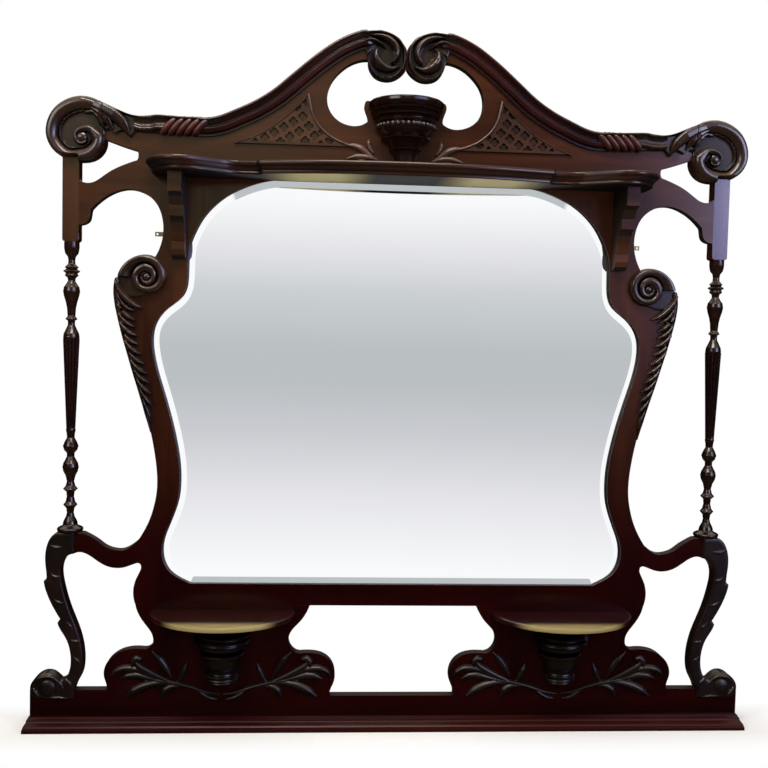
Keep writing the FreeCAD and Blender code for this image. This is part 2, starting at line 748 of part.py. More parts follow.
def pediment_board():
    """The shaped board above the top rail, ending in two horns."""
    side = run((0, pediment_low_share), (stile_joint_share, pediment_low_share),
               crest_edge_shares[0], neck_edge_shares[0])
    side += bend(neck_edge_shares) + bend(horn_edge_shares)
    edges = side + [flip(edge) for edge in side]
    board = slab(edges, 0, board_thickness)
    return board.cut([pediment_slab(), horn_gap_block()])


def lower_panel():
    """The shaped panel under the bottom rail."""
    edges = bend(panel_outer_shares) + bend(panel_lobe_shares)
    edges += bend(panel_inner_shares) + bend(panel_inner_lobe_shares)
    edges += run(panel_lobe_shares[-1], (panel_foot_share, plinth_low_share),
                 panel_inner_lobe_shares[-1])
    edges += run(panel_inner_shares[0], panel_outer_shares[0])
    return slab(edges, 0, board_thickness)


def plinth_rail():
    """The long low board at the foot, a little higher under the legs."""
    end = half_length - plinth_end_inset
    foot = panel_foot_share * half_length
    low = level(plinth_low_share)
    body = block(-end, end, 0, board_thickness, base_height, low)
    rise = block(foot, end, 0, board_thickness, low, level(plinth_high_share))
    return fused([body, rise, flip(rise)])


def base_board():
    """The moulded base: one profile along the front and round both ends."""
    points = [V(0, -base_projection * out, base_height * rise)
              for out, rise in base_profile_shares]
    back = [V(0, wall_plane, base_height), V(0, wall_plane, 0)]
    face = Part.Face(Part.makePolygon(points + back + points[:1]))
    face.translate(V(-half_length, 0, 0))
    front = face.extrude(V(base_length, 0, 0))
    reach = plinth_end_inset / base_projection
    inset = [V(half_length - reach * (point.y + base_projection), 0, point.z)
             for point in points]
    other = [flip_point(point) for point in reversed(inset)]
    ends = Part.Face(Part.makePolygon(inset + other + inset[:1]))
    ends.translate(V(0, -base_projection, 0))
    sides = ends.extrude(V(0, base_projection + wall_plane, 0))
    return front.common(sides)


def scroll_leg(plinth):
    """The scrolled leg and its foot scroll, sawn and carved from one board."""
    edges = bend(leg_outer_top_shares) + bend(leg_outer_mid_shares)
    edges += bend(leg_outer_low_shares) + bend(foot_scroll_shares) + bend(leg_inner_shares)
    edges += run(leg_outer_top_shares[-1], leg_outer_mid_shares[0])
    edges += run(leg_outer_mid_shares[-1], leg_outer_low_shares[0])
    edges += run(foot_scroll_shares[-1], (leg_inner_shares[0][0], foot_scroll_shares[-1][1]),
                 leg_inner_shares[0])
    edges += run(leg_inner_shares[-1], (leg_joint_share, cap_bottom_share),
                 leg_outer_top_shares[0])
    body = slab(edges, -leg_front, leg_thickness - leg_front)
    eye = place(foot_eye_shares)
    radius = level(foot_ridge_share)
    ridge = spiral_ridge(eye, (radius, radius / 2), 5 / 4, radius / 2,
                         -leg_front - stile_ridge, -leg_front)
    return fused([body, ridge]).cut(plinth)


def bracket_arm():
    """The serpentine board from the stile to the leg."""
    edges = bend(arm_top_shares) + bend(arm_under_shares)
    edges += run(arm_top_shares[-1], arm_under_shares[-1])
    edges += run(arm_under_shares[0], (leg_joint_share, cap_bottom_share), arm_top_shares[0])
    return slab(edges, 0, board_thickness)


def neck_strip(path, high, low, relief):
    """One strip of the swan-neck moulding, between two distances below its top edge."""
    upper = offset_points(path, high)
    lower = offset_points(path, low)
    ends = straight([upper[0], lower[0]]) + straight([upper[-1], lower[-1]])
    return slab([curve(upper), curve(lower)] + ends, -relief, 0)


def neck_moulding(scroll):
    path = [place(pair) for pair in neck_edge_shares]
    strips = ((neck_fillet_width, neck_fillet_relief), (neck_cove_width, neck_cove_relief),
              (neck_bead_width, neck_bead_relief), (neck_quirk_width, neck_quirk_relief))
    pieces = []
    edge = -carving_overhang / 2
    for width, relief in strips:
        pieces.append(neck_strip(path, edge, edge + width, relief))
        edge += width
    return fused(pieces).cut(scroll)


def centre_scroll():
    """The carved scroll that ends one horn of the pediment."""
    radius = centre_scroll_radius
    eye = V(radius * centre_scroll_eye_share, 0, overall_height - radius)
    body = slab([curve(ring_points(eye, radius, centre_radius_shares), True)],
                -scroll_relief, 0)
    half = radius - scroll_ridge_width
    ridge = spiral_ridge(eye, (half, half / 3), 5 / 4, scroll_ridge_width,
                         -scroll_relief - scroll_ridge, -scroll_relief)
    return fused([body, ridge]).cut(horn_gap_block())


def crest_carving(volute, neck):
    """The leaf that springs from the volute, the plain length and the rope strands.

    It stops all round at the volute's outline, however far either of them stands out.
    """
    start = leaf_top_shares[0]
    low = (start[0], crest_low_share)
    edges = bend(leaf_top_shares) + run(*leaf_under_shares)
    edges += run(leaf_top_shares[-1], leaf_under_shares[0])
    edges += run(leaf_under_shares[-1], low, start)
    body = slab(edges, -crest_relief, 0)
    strands = []
    bottom = level(crest_low_share)
    top = level(start[1])
    for n in range(strand_count):
        x = strand_start_share * half_length + n * strand_pitch
        foot = x + strand_slope
        points = [V(foot, 0, bottom), V(foot + strand_width, 0, bottom),
                  V(x + strand_width, 0, top), V(x, 0, top)]
        strands.append(slab(straight(points + points[:1]),
                            -crest_relief - strand_relief, -crest_relief))
    return fused([body] + strands).cut([volute_slab(crest_relief + strand_relief), volute, neck])


def stile_scroll():
    """The carved scroll high on the stile."""
    eye = place(stile_scroll_place_shares)
    outline = ring_points(eye, stile_scroll_radius, stile_radius_shares)
    body = slab([curve(outline, True)], -stile_scroll_relief, 0)
    radii = (stile_scroll_radius * 2 / 3, stile_scroll_radius / 6)
    ridge = spiral_ridge(eye, radii, 3 / 2, stile_ridge_width,
                         -stile_scroll_relief - stile_ridge, -stile_scroll_relief)
    return fused([body, ridge])


def stile_leaf(scroll):
    """The long leaf below the stile scroll."""
    edges = bend(stile_leaf_outer_shares) + run(*stile_leaf_inner_shares)
    edges += run(stile_leaf_inner_shares[-1], stile_leaf_outer_shares[0])
    return slab(edges, -leaf_relief, 0).cut(scroll)


def fret_panel():
    """A planted three-cornered panel with blind quatrefoil cuts."""
    edges = bend(fret_hyp_shares) + bend(fret_side_shares)
    edges += run(fret_side_shares[-1], fret_hyp_shares[0])
    body = slab(edges, -fret_thickness, 0)
    cuts = []
    for pair in fret_place_shares:
        middle = place(pair, -fret_thickness)
        for way in ((1, 0), (-1, 0), (0, 1), (0, -1)):
            spot = middle + V(way[0], 0, way[1]) * fret_hole_spread
            cuts.append(Part.makeCylinder(fret_hole_radius, fret_cut_depth, spot, V(0, 1, 0)))
    return body.cut(fused(cuts))


def shelf_height():
    return shelf_top_thickness + shelf_cove_thickness + shelf_lower_thickness


def shelf_layer(inset, low, high):
    """One layer of the upper shelf."""
    length = shelf_half_length - inset
    depth = shelf_depth - inset
    front = [V(length * x, -depth * y, low) for x, y in shelf_front_shares]
    bow = [V(length * x, -depth * y, low) for x, y in shelf_bow_shares]
    back = V(front[0].x, 0, low)
    side = straight([back, front[0]]) + [curve(front)] + straight([front[-1], bow[0]])
    side += [curve(bow)] + straight([V(0, 0, low), back])
    edges = side + [flip(edge) for edge in side]
    face = Part.Face(Part.Wire(Part.__sortEdges__(edges)))
    return face.extrude(V(0, 0, high - low))


def upper_shelf():
    """The shaped shelf, with its edge stepped in below."""
    low = level(shelf_under_share)
    middle = low + shelf_lower_thickness
    high = middle + shelf_cove_thickness
    return fused([shelf_layer(shelf_lower_inset, low, middle),
                  shelf_layer(shelf_cove_inset, middle, high),
                  shelf_layer(0, high, high + shelf_top_thickness)])


def shelf_bracket():
    """The stepped bracket under the upper shelf."""
    top = level(shelf_under_share)
    x = bracket_place_share * half_length - bracket_width / 2
    points = [V(x, -bracket_depth * out, top - bracket_height * drop)
              for out, drop in bracket_steps_shares]
    face = Part.Face(Part.makePolygon(points + [V(x, 0, top), points[0]]))
    return face.extrude(V(bracket_width, 0, 0))


def half_turned(profile, radius, bottom, height):
    """Half of a turned piece, standing out from the plane y = 0."""
    points = [V(radius * share, 0, bottom + height * rise) for rise, share in profile]
    edges = straight([V(0, 0, bottom)] + points + [V(0, 0, bottom + height), V(0, 0, bottom)])
    face = Part.Face(Part.Wire(edges))
    return face.revolve(V(0, 0, 0), V(0, 0, 1), -180), points


def centre_bowl():
    """The half-round bracket in the middle of the pediment, with its row of beads."""
    bottom = level(shelf_under_share) + shelf_height()
    height = level(bowl_top_share) - bottom
    half, points = half_turned(bowl_profile_shares, bowl_radius, bottom, height)
    half.translate(V(0, -bowl_stilt, 0))
    outline = points + [flip_point(point) for point in reversed(points)]
    stilt = slab(straight(outline + outline[:1]), -bowl_stilt, 0)
    row = bottom + height * bead_row_share
    beads = []
    for n in range(bead_count):
        angle = math.pi * (n + 1 / 2) / bead_count
        reach = bowl_radius * bowl_profile_shares[11][1]
        spot = V(reach * math.cos(angle), -bowl_stilt - reach * math.sin(angle), row)
        beads.append(Part.makeSphere(bead_radius, spot))
    return fused([half, stilt] + beads)


def lower_shelf():
    """A half-round shelf with a softened edge."""
    middle = place(lower_shelf_place_shares)
    low = middle - V(0, 0, lower_shelf_thickness)
    ellipse = Part.Ellipse(low, lower_shelf_half_length, lower_shelf_depth)
    arc = ellipse.toShape(math.pi, 2 * math.pi)
    ends = [vertex.Point for vertex in arc.Vertexes]
    face = Part.Face(Part.Wire([arc] + straight([ends[1], ends[0]])))
    body = face.extrude(V(0, 0, lower_shelf_thickness))
    rims = [edge for edge in body.Edges if edge.BoundBox.YLength > lower_shelf_depth / 2]
    return body.makeFillet(lower_shelf_rounding, rims)


def lower_corbel():
    """The half-turned corbel under a lower shelf."""
    bottom = level(corbel_bottom_share)
    top = level(lower_shelf_place_shares[1]) - lower_shelf_thickness
    body, points = half_turned(corbel_profile_shares, corbel_radius, bottom, top - bottom)
    body.translate(V(lower_shelf_place_shares[0] * half_length, 0, 0))
    return body


def leaf(shares, width):
    """A flat leaf from root to tip, widest at its bend."""
    root, middle, tip = [place(pair) for pair in shares]
    along = (tip - root).normalize()
    across = V(-along.z, 0, along.x) * (width / 2)
    sides = [curve([root, middle + across, tip]), curve([root, middle - across, tip])]
    return slab(sides, -spray_relief, 0)


def leaves(tables, width, keep_out):
    """A spray of leaves, clear of the piece it springs from."""
    spray = fused([leaf(shares, width) for shares in tables])
    return spray.cut(keep_out)


def lower_spray(corbel):
    half = len(lower_spray_shares) // 2
    outer = leaves(lower_spray_shares[:half], spray_leaf_width, corbel)
    inner = leaves(lower_spray_shares[half:], spray_leaf_width, corbel)
    return Part.makeCompound(outer.Solids + inner.Solids)


def mirror_glass():
    """Plate glass with a wide bevel all round its front."""
    grown = rebate_width - glass_clearance
    back = sight_lip + glass_thickness
    edge = back - glass_edge_thickness
    base = sight_slab(grown, edge, back)
    drawn = [place(pair) for pair in sight_edge_shares]
    wires = []
    for offset, y in ((grown, edge), (grown - bevel_width, sight_lip)):
        wire = Part.Wire(Part.__sortEdges__(sight_edges(offset_points(drawn, offset))))
        wire.translate(V(0, y, 0))
        wires.append(wire)
    bevel = Part.makeLoft(wires, True, True)
    return fused([base, bevel])


def glazing_blocks():
    """Softwood blocks in the rebate that hold the glass against the lip."""
    front = sight_lip + glass_thickness
    outside = rebate_width - pin_clearance
    ring = sight_slab(outside, front, board_thickness)
    ring = ring.cut(sight_slab(outside - block_width, front - overrun,
                               board_thickness + overrun))
    half = block_length / 2
    places = []
    for share in block_row_shares:
        x = share * half_length
        places.append(block(x - half, x + half, 0, wall_plane, 0, overall_height))
    for share in block_side_shares:
        z = level(share)
        places.append(block(-half_length, half_length, 0, wall_plane, z - half, z + half))
    return ring.common(Part.makeCompound(places))


def backboards():
    """Three softwood boards that close the back, upper, middle and lower."""
    whole = sight_slab(backboard_lap, board_thickness, wall_plane)
    cuts = [0] + [level(share) for share in backboard_joint_shares] + [overall_height]
    boards = []
    for low, high in zip(cuts, cuts[1:]):
        part = block(-half_length, half_length, 0, wall_plane + overrun,
                     low + backboard_joint / 2, high - backboard_joint / 2)
        boards.append(whole.common(part))
    return boards


def screw(spot, length, grow=0):
    """A countersunk screw driven towards the front, its head flush at the given point."""
    forward = V(0, -1, 0)
    start = spot - forward * grow
    head = Part.makeCone(screw_head_radius + grow, screw_radius + grow,
                         screw_head_height + grow, start, forward)
    shank = Part.makeCylinder(screw_radius + grow, length + grow, start, forward)
    body = head.fuse(shank)
    if grow:
        return body
    wide = screw_head_radius + overrun
    slot = block(spot.x - wide, spot.x + wide, spot.y - screw_slot_depth, spot.y + overrun,
                 spot.z - screw_slot_width / 2, spot.z + screw_slot_width / 2)
    return body.cut(slot)


def screws(sites, grow=0):
    return [screw(spot, length, grow) for spot, length in sites]


def both_sides(points):
    """Every point with its twin, and a point on the middle line once."""
    return points + [flip_point(point) for point in points if point.x > 0]


def frame_screw_places():
    """Screws through the boards, and the length of each."""
    tables = shelf_screw_shares + bracket_screw_shares + lower_screw_shares + bowl_screw_shares
    spots = both_sides([place(pair, board_thickness) for pair in tables])
    return [(spot, board_thickness + screw_grip) for spot in spots]


def backboard_screw_places():
    middle = (rebate_width + backboard_lap) / 2
    edge = offset_points([place(pair, wall_plane) for pair in sight_edge_shares], middle)
    picked = [edge[n] for n in backboard_screw_points]
    length = backboard_thickness + board_thickness / 2
    return [(spot, length) for spot in both_sides(picked)]


def plate_edge_x():
    return plate_edge_share * half_length


def plate_screw_places():
    """Two screws in each wall plate."""
    z = level(plate_place_share)
    x = plate_edge_x() - plate_arm / 2 - plate_thickness
    y = board_thickness + plate_thickness
    spots = [V(x, y, z + plate_screw_spacing / 2), V(x, y, z - plate_screw_spacing / 2)]
    return [(spot, board_thickness * 2 / 3) for spot in both_sides(spots)]


def plate_part(outline, height):
    """A strip of brass bent to the outline, level with the wall plate's place."""
    face = Part.Face(Part.makePolygon(outline + outline[:1]))
    face.translate(V(0, 0, level(plate_place_share) - height / 2))
    return face.extrude(V(0, 0, height))


def wall_plate():
    """A cranked brass plate: screwed to the stile, its ear flat against the wall."""
    edge = plate_edge_x()
    inside = edge - plate_thickness
    start = inside - plate_arm
    tip = edge + plate_ear
    back = board_thickness
    ear_front = wall_plane - plate_thickness
    arm = [V(start, back, 0), V(edge, back, 0), V(edge, back + plate_thickness, 0),
           V(start, back + plate_thickness, 0)]
    crank = [V(inside, back, 0), V(edge, back, 0), V(edge, ear_front, 0),
             V(tip, ear_front, 0), V(tip, wall_plane, 0), V(inside, wall_plane, 0)]
    body = fused([plate_part(arm, plate_height), plate_part(crank, plate_ear_height)])
    spot = V(tip - plate_ear_height / 2, back, level(plate_place_share))
    return body.cut(Part.makeCylinder(plate_hole_radius, base_projection, spot, V(0, 1, 0)))


def dowels(grow=0, gap=0):
    """The dowels, or the holes they sit in where they are grown."""
    radius = dowel_radius + grow
    length = dowel_length + 2 * gap
    up = V(0, 0, 1)
    along = V(1, 0, 0)
    sites = [(place(pair, dowel_set_back), up) for pair in upright_dowel_shares]
    sites += [(place(pair, dowel_set_back), along) for pair in level_dowel_shares]
    inner = column_axis_x() - post_width / 2
    sites += [(V(inner, dowel_set_back, level(share)), along) for share in post_dowel_shares]
    sites += [(V(share * half_length, dowel_set_back, base_height), up)
              for share in base_dowel_shares]
    pegs = []
    for spot, way in sites:
        for point in both_sides([spot]):
            pegs.append(Part.makeCylinder(radius, length, point - way * (length / 2), way))
    return pegs


def pair_up(parts, name, shape):
    """Keep a right-hand piece and its left-hand twin."""
    parts[name + "_right"] = shape
    parts[name + "_left"] = flip(shape)


def frame_parts(parts):
    opening = frame_opening()
    plinth = plinth_rail()
    volute = corner_volute()
    scroll = centre_scroll()
    neck = neck_moulding(scroll)
    parts["base_board"] = base_board()
    parts["plinth_rail"] = plinth
    parts["bottom_rail"] = bottom_rail(opening)
    parts["top_rail"] = top_rail(opening)
    parts["pediment_board"] = pediment_board()
    pair_up(parts, "lower_panel", lower_panel())
    pair_up(parts, "stile", stile(opening))
    pair_up(parts, "spandrel", spandrel(opening))
    pair_up(parts, "arch_arm", arch_arm(volute))
    pair_up(parts, "post_block", post_block())
    pair_up(parts, "bracket_arm", bracket_arm())
    pair_up(parts, "scroll_leg", scroll_leg(plinth))
    pair_up(parts, "corner_volute", volute)
    pair_up(parts, "crest_carving", crest_carving(volute, neck))
    pair_up(parts, "neck_moulding", neck)
    pair_up(parts, "centre_scroll", scroll)


def trim_parts(parts):
    stile_roll = stile_scroll()
    corbel = lower_corbel()
    bowl = centre_bowl()
    pair_up(parts, "column", column())
    pair_up(parts, "column_cap", column_cap())
    pair_up(parts, "stile_scroll", stile_roll)
    pair_up(parts, "stile_leaf", stile_leaf(stile_roll))
    pair_up(parts, "fret_panel", fret_panel())
    pair_up(parts, "centre_spray", leaves(centre_spray_shares, small_leaf_width, bowl))
    pair_up(parts, "shelf_bracket", shelf_bracket())
    pair_up(parts, "lower_shelf", lower_shelf())
    pair_up(parts, "lower_corbel", corbel)
    pair_up(parts, "lower_spray", lower_spray(corbel))
    parts["centre_bowl"] = bowl
    parts["upper_shelf"] = upper_shelf()


def glass_parts(parts):
    parts["mirror_glass"] = mirror_glass()
    parts["glazing_blocks"] = glazing_blocks()
    names = ("backboard_lower", "backboard_middle", "backboard_upper")
    for name, board in zip(names, backboards()):
        parts[name] = board
    plate = wall_plate()
    parts["wall_plates"] = Part.makeCompound([plate, flip(plate)])


def all_parts():
    """Every piece under its name, with its holes bored."""
    parts = {}
    frame_parts(parts)
    trim_parts(parts)
    glass_parts(parts)
    backboard_sites = backboard_screw_places()
    sites = frame_screw_places() + backboard_sites
    plate_sites = plate_screw_places()
    backboard_holes = screws(backboard_sites, screw_clearance)
    holes = screws(sites + plate_sites, screw_clearance)
    holes += dowels(dowel_clearance, dowel_end_gap)
    bores = column_holes()
    holes += bores + [flip(bore) for bore in bores]
    for name in parts:
        if name.startswith("backboard"):
            parts[name] = drilled(parts[name], backboard_holes)
        elif name not in ("column_left", "column_right", "mirror_glass"):
            parts[name] = drilled(parts[name], holes)
    parts["frame_dowels"] = Part.makeCompound(dowels())
    parts["wood_screws"] = Part.makeCompound(screws(sites))
    parts["plate_screws"] = Part.makeCompound(screws(plate_sites))
    return parts


def main():
    os.makedirs("parts", exist_ok=True)
    for name, shape in all_parts().items():
        solids = shape.Solids
        kept = solids[0] if len(solids) == 1 else Part.makeCompound(solids)
        kept.exportStep("parts/" + name + ".step")
        print(name, len(solids), kept.isValid(), round(kept.Volume))


main()
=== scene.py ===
import json
import math

import bmesh
import bpy
import numpy as np
from mathutils import Matrix, Vector
from mathutils.bvhtree import BVHTree
from mathutils.geometry import delaunay_2d_cdt


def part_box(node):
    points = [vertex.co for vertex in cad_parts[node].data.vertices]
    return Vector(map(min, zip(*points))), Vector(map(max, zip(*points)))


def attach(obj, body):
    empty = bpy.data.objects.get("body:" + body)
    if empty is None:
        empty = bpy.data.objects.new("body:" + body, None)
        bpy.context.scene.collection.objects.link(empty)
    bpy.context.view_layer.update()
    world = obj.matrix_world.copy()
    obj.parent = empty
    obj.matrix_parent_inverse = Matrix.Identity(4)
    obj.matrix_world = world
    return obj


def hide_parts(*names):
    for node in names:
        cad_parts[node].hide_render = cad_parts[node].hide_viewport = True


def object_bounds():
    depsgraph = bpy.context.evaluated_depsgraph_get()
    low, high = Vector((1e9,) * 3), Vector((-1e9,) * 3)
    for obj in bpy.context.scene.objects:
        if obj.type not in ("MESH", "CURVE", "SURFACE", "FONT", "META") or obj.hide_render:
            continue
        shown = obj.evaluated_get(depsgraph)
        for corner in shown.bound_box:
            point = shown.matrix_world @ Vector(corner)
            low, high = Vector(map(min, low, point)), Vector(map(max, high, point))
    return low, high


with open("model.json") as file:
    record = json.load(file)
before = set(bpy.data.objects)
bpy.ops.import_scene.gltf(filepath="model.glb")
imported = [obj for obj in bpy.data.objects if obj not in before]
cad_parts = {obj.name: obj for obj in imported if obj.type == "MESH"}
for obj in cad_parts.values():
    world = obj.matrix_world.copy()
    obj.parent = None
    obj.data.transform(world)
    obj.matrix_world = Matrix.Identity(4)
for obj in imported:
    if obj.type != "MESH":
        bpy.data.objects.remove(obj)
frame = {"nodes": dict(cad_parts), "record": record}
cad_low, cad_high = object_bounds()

# A carved mahogany overmantel mirror on a white floor, in soft studio light.
# The frame's boards are CAD pieces with softened edges; the carving is modelled here.
# Lengths in the tables below are in millimetres, x to the right and z up; mm() makes them metres.

MM = 0.001


def mm(*values):
    return Vector([v * MM for v in values])


# Materials


def linear(code):
    """A colour given as sRGB hex digits, made linear for the shader."""
    parts = [int(code[n:n + 2], 16) / 255 for n in (0, 2, 4)]
    return tuple(c / 12.92 if c <= 0.04045 else ((c + 0.055) / 1.055) ** 2.4 for c in parts) + (1,)


def add(tree, kind, inputs=None, stops=(), **settings):
    """A node with its settings, its inputs set or linked, and a ramp's stops as (place, colour).

    A node given as an input means its first output, and a list links all that it holds.
    """
    made = tree.nodes.new(kind)
    for key, value in settings.items():
        setattr(made, key, value)
    for key, value in (inputs or {}).items():
        for one in value if isinstance(value, list) else [value]:
            if isinstance(one, bpy.types.Node):
                one = one.outputs[0]
            if isinstance(one, bpy.types.NodeSocket):
                tree.links.new(one, made.inputs[key])
            else:
                made.inputs[key].default_value = one
    for n, (at, code) in enumerate(stops):
        bar = made.color_ramp.elements
        stop = bar[n] if n < 2 else bar.new(at)
        stop.position = at
        stop.color = linear(code)
    return made


def new_material(name):
    made = bpy.data.materials.new(name)
    made.use_nodes = True
    made.node_tree.nodes.clear()
    return made, made.node_tree


# The tone goes from that of the foot to that of the top between these heights, in metres.
TONE_RISE = (0.30, 0.85)
# The figure, per metre: streaks about 24 mm apart across the grain, clouds about 110 mm, pores under 2 mm.
STREAKS, CLOUDS, PORES = 42.0, 9.0, 620.0
STREAK_SHARE = 0.35
PORE_STRENGTH, PORE_DEPTH = 0.04, 0.0006
# How near other surfaces have to be for old wax and painted shade to gather between them, in metres.
HOLLOW_REACH = 0.012
# An underside is fully lit within this distance of its lit place, in metres.
LIT_REACH = 0.04


def figured(tree, height, stretched, low, high):
    """Streaks and clouds, from dark to light in one pair of tones at the foot and another at the top."""
    streak = add(tree, "ShaderNodeTexNoise", {
        "Vector": stretched, "Scale": STREAKS, "Detail": 5.0, "Roughness": 0.6, "Distortion": 0.35})
    cloud = add(tree, "ShaderNodeTexNoise", {"Vector": stretched, "Scale": CLOUDS, "Detail": 2.0})
    both = add(tree, "ShaderNodeMix", {0: STREAK_SHARE, 2: cloud, 3: streak}, data_type="FLOAT")
    lower, upper = [add(tree, "ShaderNodeValToRGB", {"Fac": both}, ((0.36, dark), (0.64, light)))
                    for dark, light in (low, high)]
    foot, top = TONE_RISE
    rise = add(tree, "ShaderNodeMapRange", {"Value": height, "From Min": foot, "From Max": top},
               interpolation_type="SMOOTHSTEP")
    return add(tree, "ShaderNodeMix", {0: rise, 6: lower, 7: upper}, data_type="RGBA").outputs[2]


def paler_front(tree, tone, depth, code, start, end):
    """The tone, going over to the given colour towards what stands far forward."""
    paled_by = add(tree, "ShaderNodeMapRange", {"Value": depth, "From Min": start, "From Max": end},
                   interpolation_type="SMOOTHSTEP")
    return add(tree, "ShaderNodeMix", {0: paled_by, 6: tone, 7: linear(code)}, data_type="RGBA").outputs[2]


def painted_top_light(tree, tone, up, top_light):
    """The tone, paled towards a pale pinkish brown where the surface looks up: painted light from above."""
    from_above = add(tree, "ShaderNodeMapRange", {
        "Value": up, "From Min": 0.35, "From Max": 0.95, "To Max": top_light}, interpolation_type="SMOOTHSTEP")
    return add(tree, "ShaderNodeMix", {0: from_above, 6: tone, 7: linear("9a8472")}, data_type="RGBA").outputs[2]


def wax_and_shade_in_hollows(tree, tone, hollows):
    """The tone, darkened in the bottoms of the cuts: old wax, and painted shade where other surfaces shut
    them in.
    """
    open_air = add(tree, "ShaderNodeAmbientOcclusion", {"Distance": HOLLOW_REACH}, samples=8).outputs["AO"]
    wax_and_shade = add(tree, "ShaderNodeMapRange", {
        "Value": open_air, "From Min": 0.25, "From Max": 0.85, "To Min": 1 - hollows, "To Max": 1.0})
    return add(tree, "ShaderNodeVectorMath", {0: tone, "Scale": wax_and_shade}, operation="SCALE")


def shaded_sides(tree, tone, facing_back, roughness):
    """The tone and the roughness: painted shade, and a duller finish, where the surface doesn't look
    forward.
    """
    aside = add(tree, "ShaderNodeMapRange", {"Value": facing_back, "From Min": -0.95, "From Max": -0.6})
    shade = add(tree, "ShaderNodeMapRange", {"Value": aside, "To Min": 1.0, "To Max": 0.3})
    dull = add(tree, "ShaderNodeMapRange", {"Value": aside, "To Min": roughness, "To Max": 0.6})
    return add(tree, "ShaderNodeVectorMath", {0: tone, "Scale": shade}, operation="SCALE"), dull


def lit_underside(tree, tone, spot, code, middle, fade, top):
    """The tone, with the colour of an underside that the mirror throws light up at.

    The light lies no higher than the top and at the distance from the middle on both sides. It is gone
    at the fade's distance beside it.
    """
    across = add(tree, "ShaderNodeMath", {0: spot.outputs["X"]}, operation="ABSOLUTE")
    off = add(tree, "ShaderNodeMath", {0: across, 1: middle}, operation="SUBTRACT")
    off = add(tree, "ShaderNodeMath", {0: off}, operation="ABSOLUTE")
    over = add(tree, "ShaderNodeMapRange", {"Value": off, "From Min": fade, "From Max": LIT_REACH})
    below = add(tree, "ShaderNodeMapRange", {
        "Value": spot.outputs["Z"], "From Min": top + 0.0006, "From Max": top, "To Max": over})
    return add(tree, "ShaderNodeMix", {0: below, 6: tone, 7: linear(code)}, data_type="RGBA").outputs[2]


def wood(name, low, high=None, grain=(1, 1, 1), roughness=0.22, specular=0.35, hollows=0.0, top_light=0.0,
         edges=False, front=None, under=None):
    """French-polished mahogany: two tones by height, streaks along the grain, fine pores.

    low and high are (dark, light) colours at the foot and at the top of the mirror, alike where only
    low is given. grain gives how the pattern is stretched: small along the grain, 1 across it. hollows
    is how far old wax and painted shade darken the bottoms of the cuts, and top_light how far painted
    light from above pales the faces that look up. With edges the faces that don't look forward get
    painted shade and a duller finish. front and under hold the colour and the places for a paler front
    and for painted light that the mirror throws up at an underside.
    """
    made, tree = new_material(name)
    place = add(tree, "ShaderNodeTexCoord").outputs["Object"]
    spot = add(tree, "ShaderNodeSeparateXYZ", {0: place})
    facing = add(tree, "ShaderNodeSeparateXYZ", {0: add(tree, "ShaderNodeNewGeometry").outputs["Normal"]})
    stretched = add(tree, "ShaderNodeVectorMath", {0: place, 1: grain}, operation="MULTIPLY")
    tone = figured(tree, spot.outputs["Z"], stretched, low, high or low)
    if front:
        tone = paler_front(tree, tone, spot.outputs["Y"], *front)
    if top_light:
        tone = painted_top_light(tree, tone, facing.outputs["Z"], top_light)
    if hollows:
        tone = wax_and_shade_in_hollows(tree, tone, hollows)
    if edges:
        tone, roughness = shaded_sides(tree, tone, facing.outputs["Y"], roughness)
    if under:
        tone = lit_underside(tree, tone, spot, *under)
    pores = add(tree, "ShaderNodeTexNoise", {"Vector": stretched, "Scale": PORES, "Detail": 2.0})
    bump = add(tree, "ShaderNodeBump", {"Height": pores, "Strength": PORE_STRENGTH, "Distance": PORE_DEPTH})
    shader = add(tree, "ShaderNodeBsdfPrincipled", {
        "Base Color": tone, "Roughness": roughness, "Specular IOR Level": specular, "Normal": bump})
    add(tree, "ShaderNodeOutputMaterial", {"Surface": shader})
    return made


# How the pattern is stretched along a grain that runs up and down, and one from side to side.
UPRIGHT, LEVEL = (1, 1, 0.09), (0.09, 1, 1)
# Upright boards: the polish gives a soft vertical figure, red at the foot, browner and paler above.
LOW_TONES, HIGH_TONES = ("110101", "210202"), ("230f08", "422414")
upright = wood("mahogany_upright", LOW_TONES, HIGH_TONES, UPRIGHT, roughness=0.18, edges=True)
# Level boards: the same finish with the grain running from side to side.
level = wood("mahogany_level", LOW_TONES, HIGH_TONES, LEVEL, roughness=0.18, edges=True)
# Blind fret: the same again, with the bottoms of its small cuts darkened nearly to black: painted shade,
# and old wax.
fret_finish = wood("mahogany_fret", ("1d0f09", "38261a"), ("1d0f09", "4a3020"), LEVEL, hollows=0.95,
                   edges=True)
# The upper shelf: dark, with a gloss on its moulded front.
SHELF_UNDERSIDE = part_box("upper_shelf")[0].z
shelf_finish = wood("mahogany_shelf", ("1a0a06", "331a10"), grain=LEVEL, specular=0.25, hollows=0.5,
                    edges=True, under=("c3ba8b", 0.17, 0.11, SHELF_UNDERSIDE))
# Swan-neck mouldings: a dark red hollow between glossy edges.
neck_finish = wood("mahogany_neck", ("150504", "2b0d0a"), specular=0.5, hollows=0.75)
# Post blocks: rubbed to a harder shine, so that they mirror the window beside them.
polished = wood("mahogany_polished", LOW_TONES, HIGH_TONES, UPRIGHT, roughness=0.13, specular=0.9)
# Moulded base: a little paler and pinker than the boards.
moulded = wood("mahogany_moulded", ("1c0505", "300c09"), grain=LEVEL, specular=0.1, roughness=0.3,
               hollows=0.6)
# Carving: nearly black in the cuts from old wax and painted shade, brown and soft-lit on what stands out,
# with a little painted light from above on its tops.
carved = wood("mahogany_carved", ("0a0503", "180d07"), ("150b06", "2d1b14"), roughness=0.24, specular=0.45,
              hollows=0.85, top_light=0.08)
# Legs: the darkest of the carving, rubbed smooth by cloths.
leg_finish = wood("mahogany_leg", ("090403", "190b06"), roughness=0.34, specular=0.3, hollows=0.6)
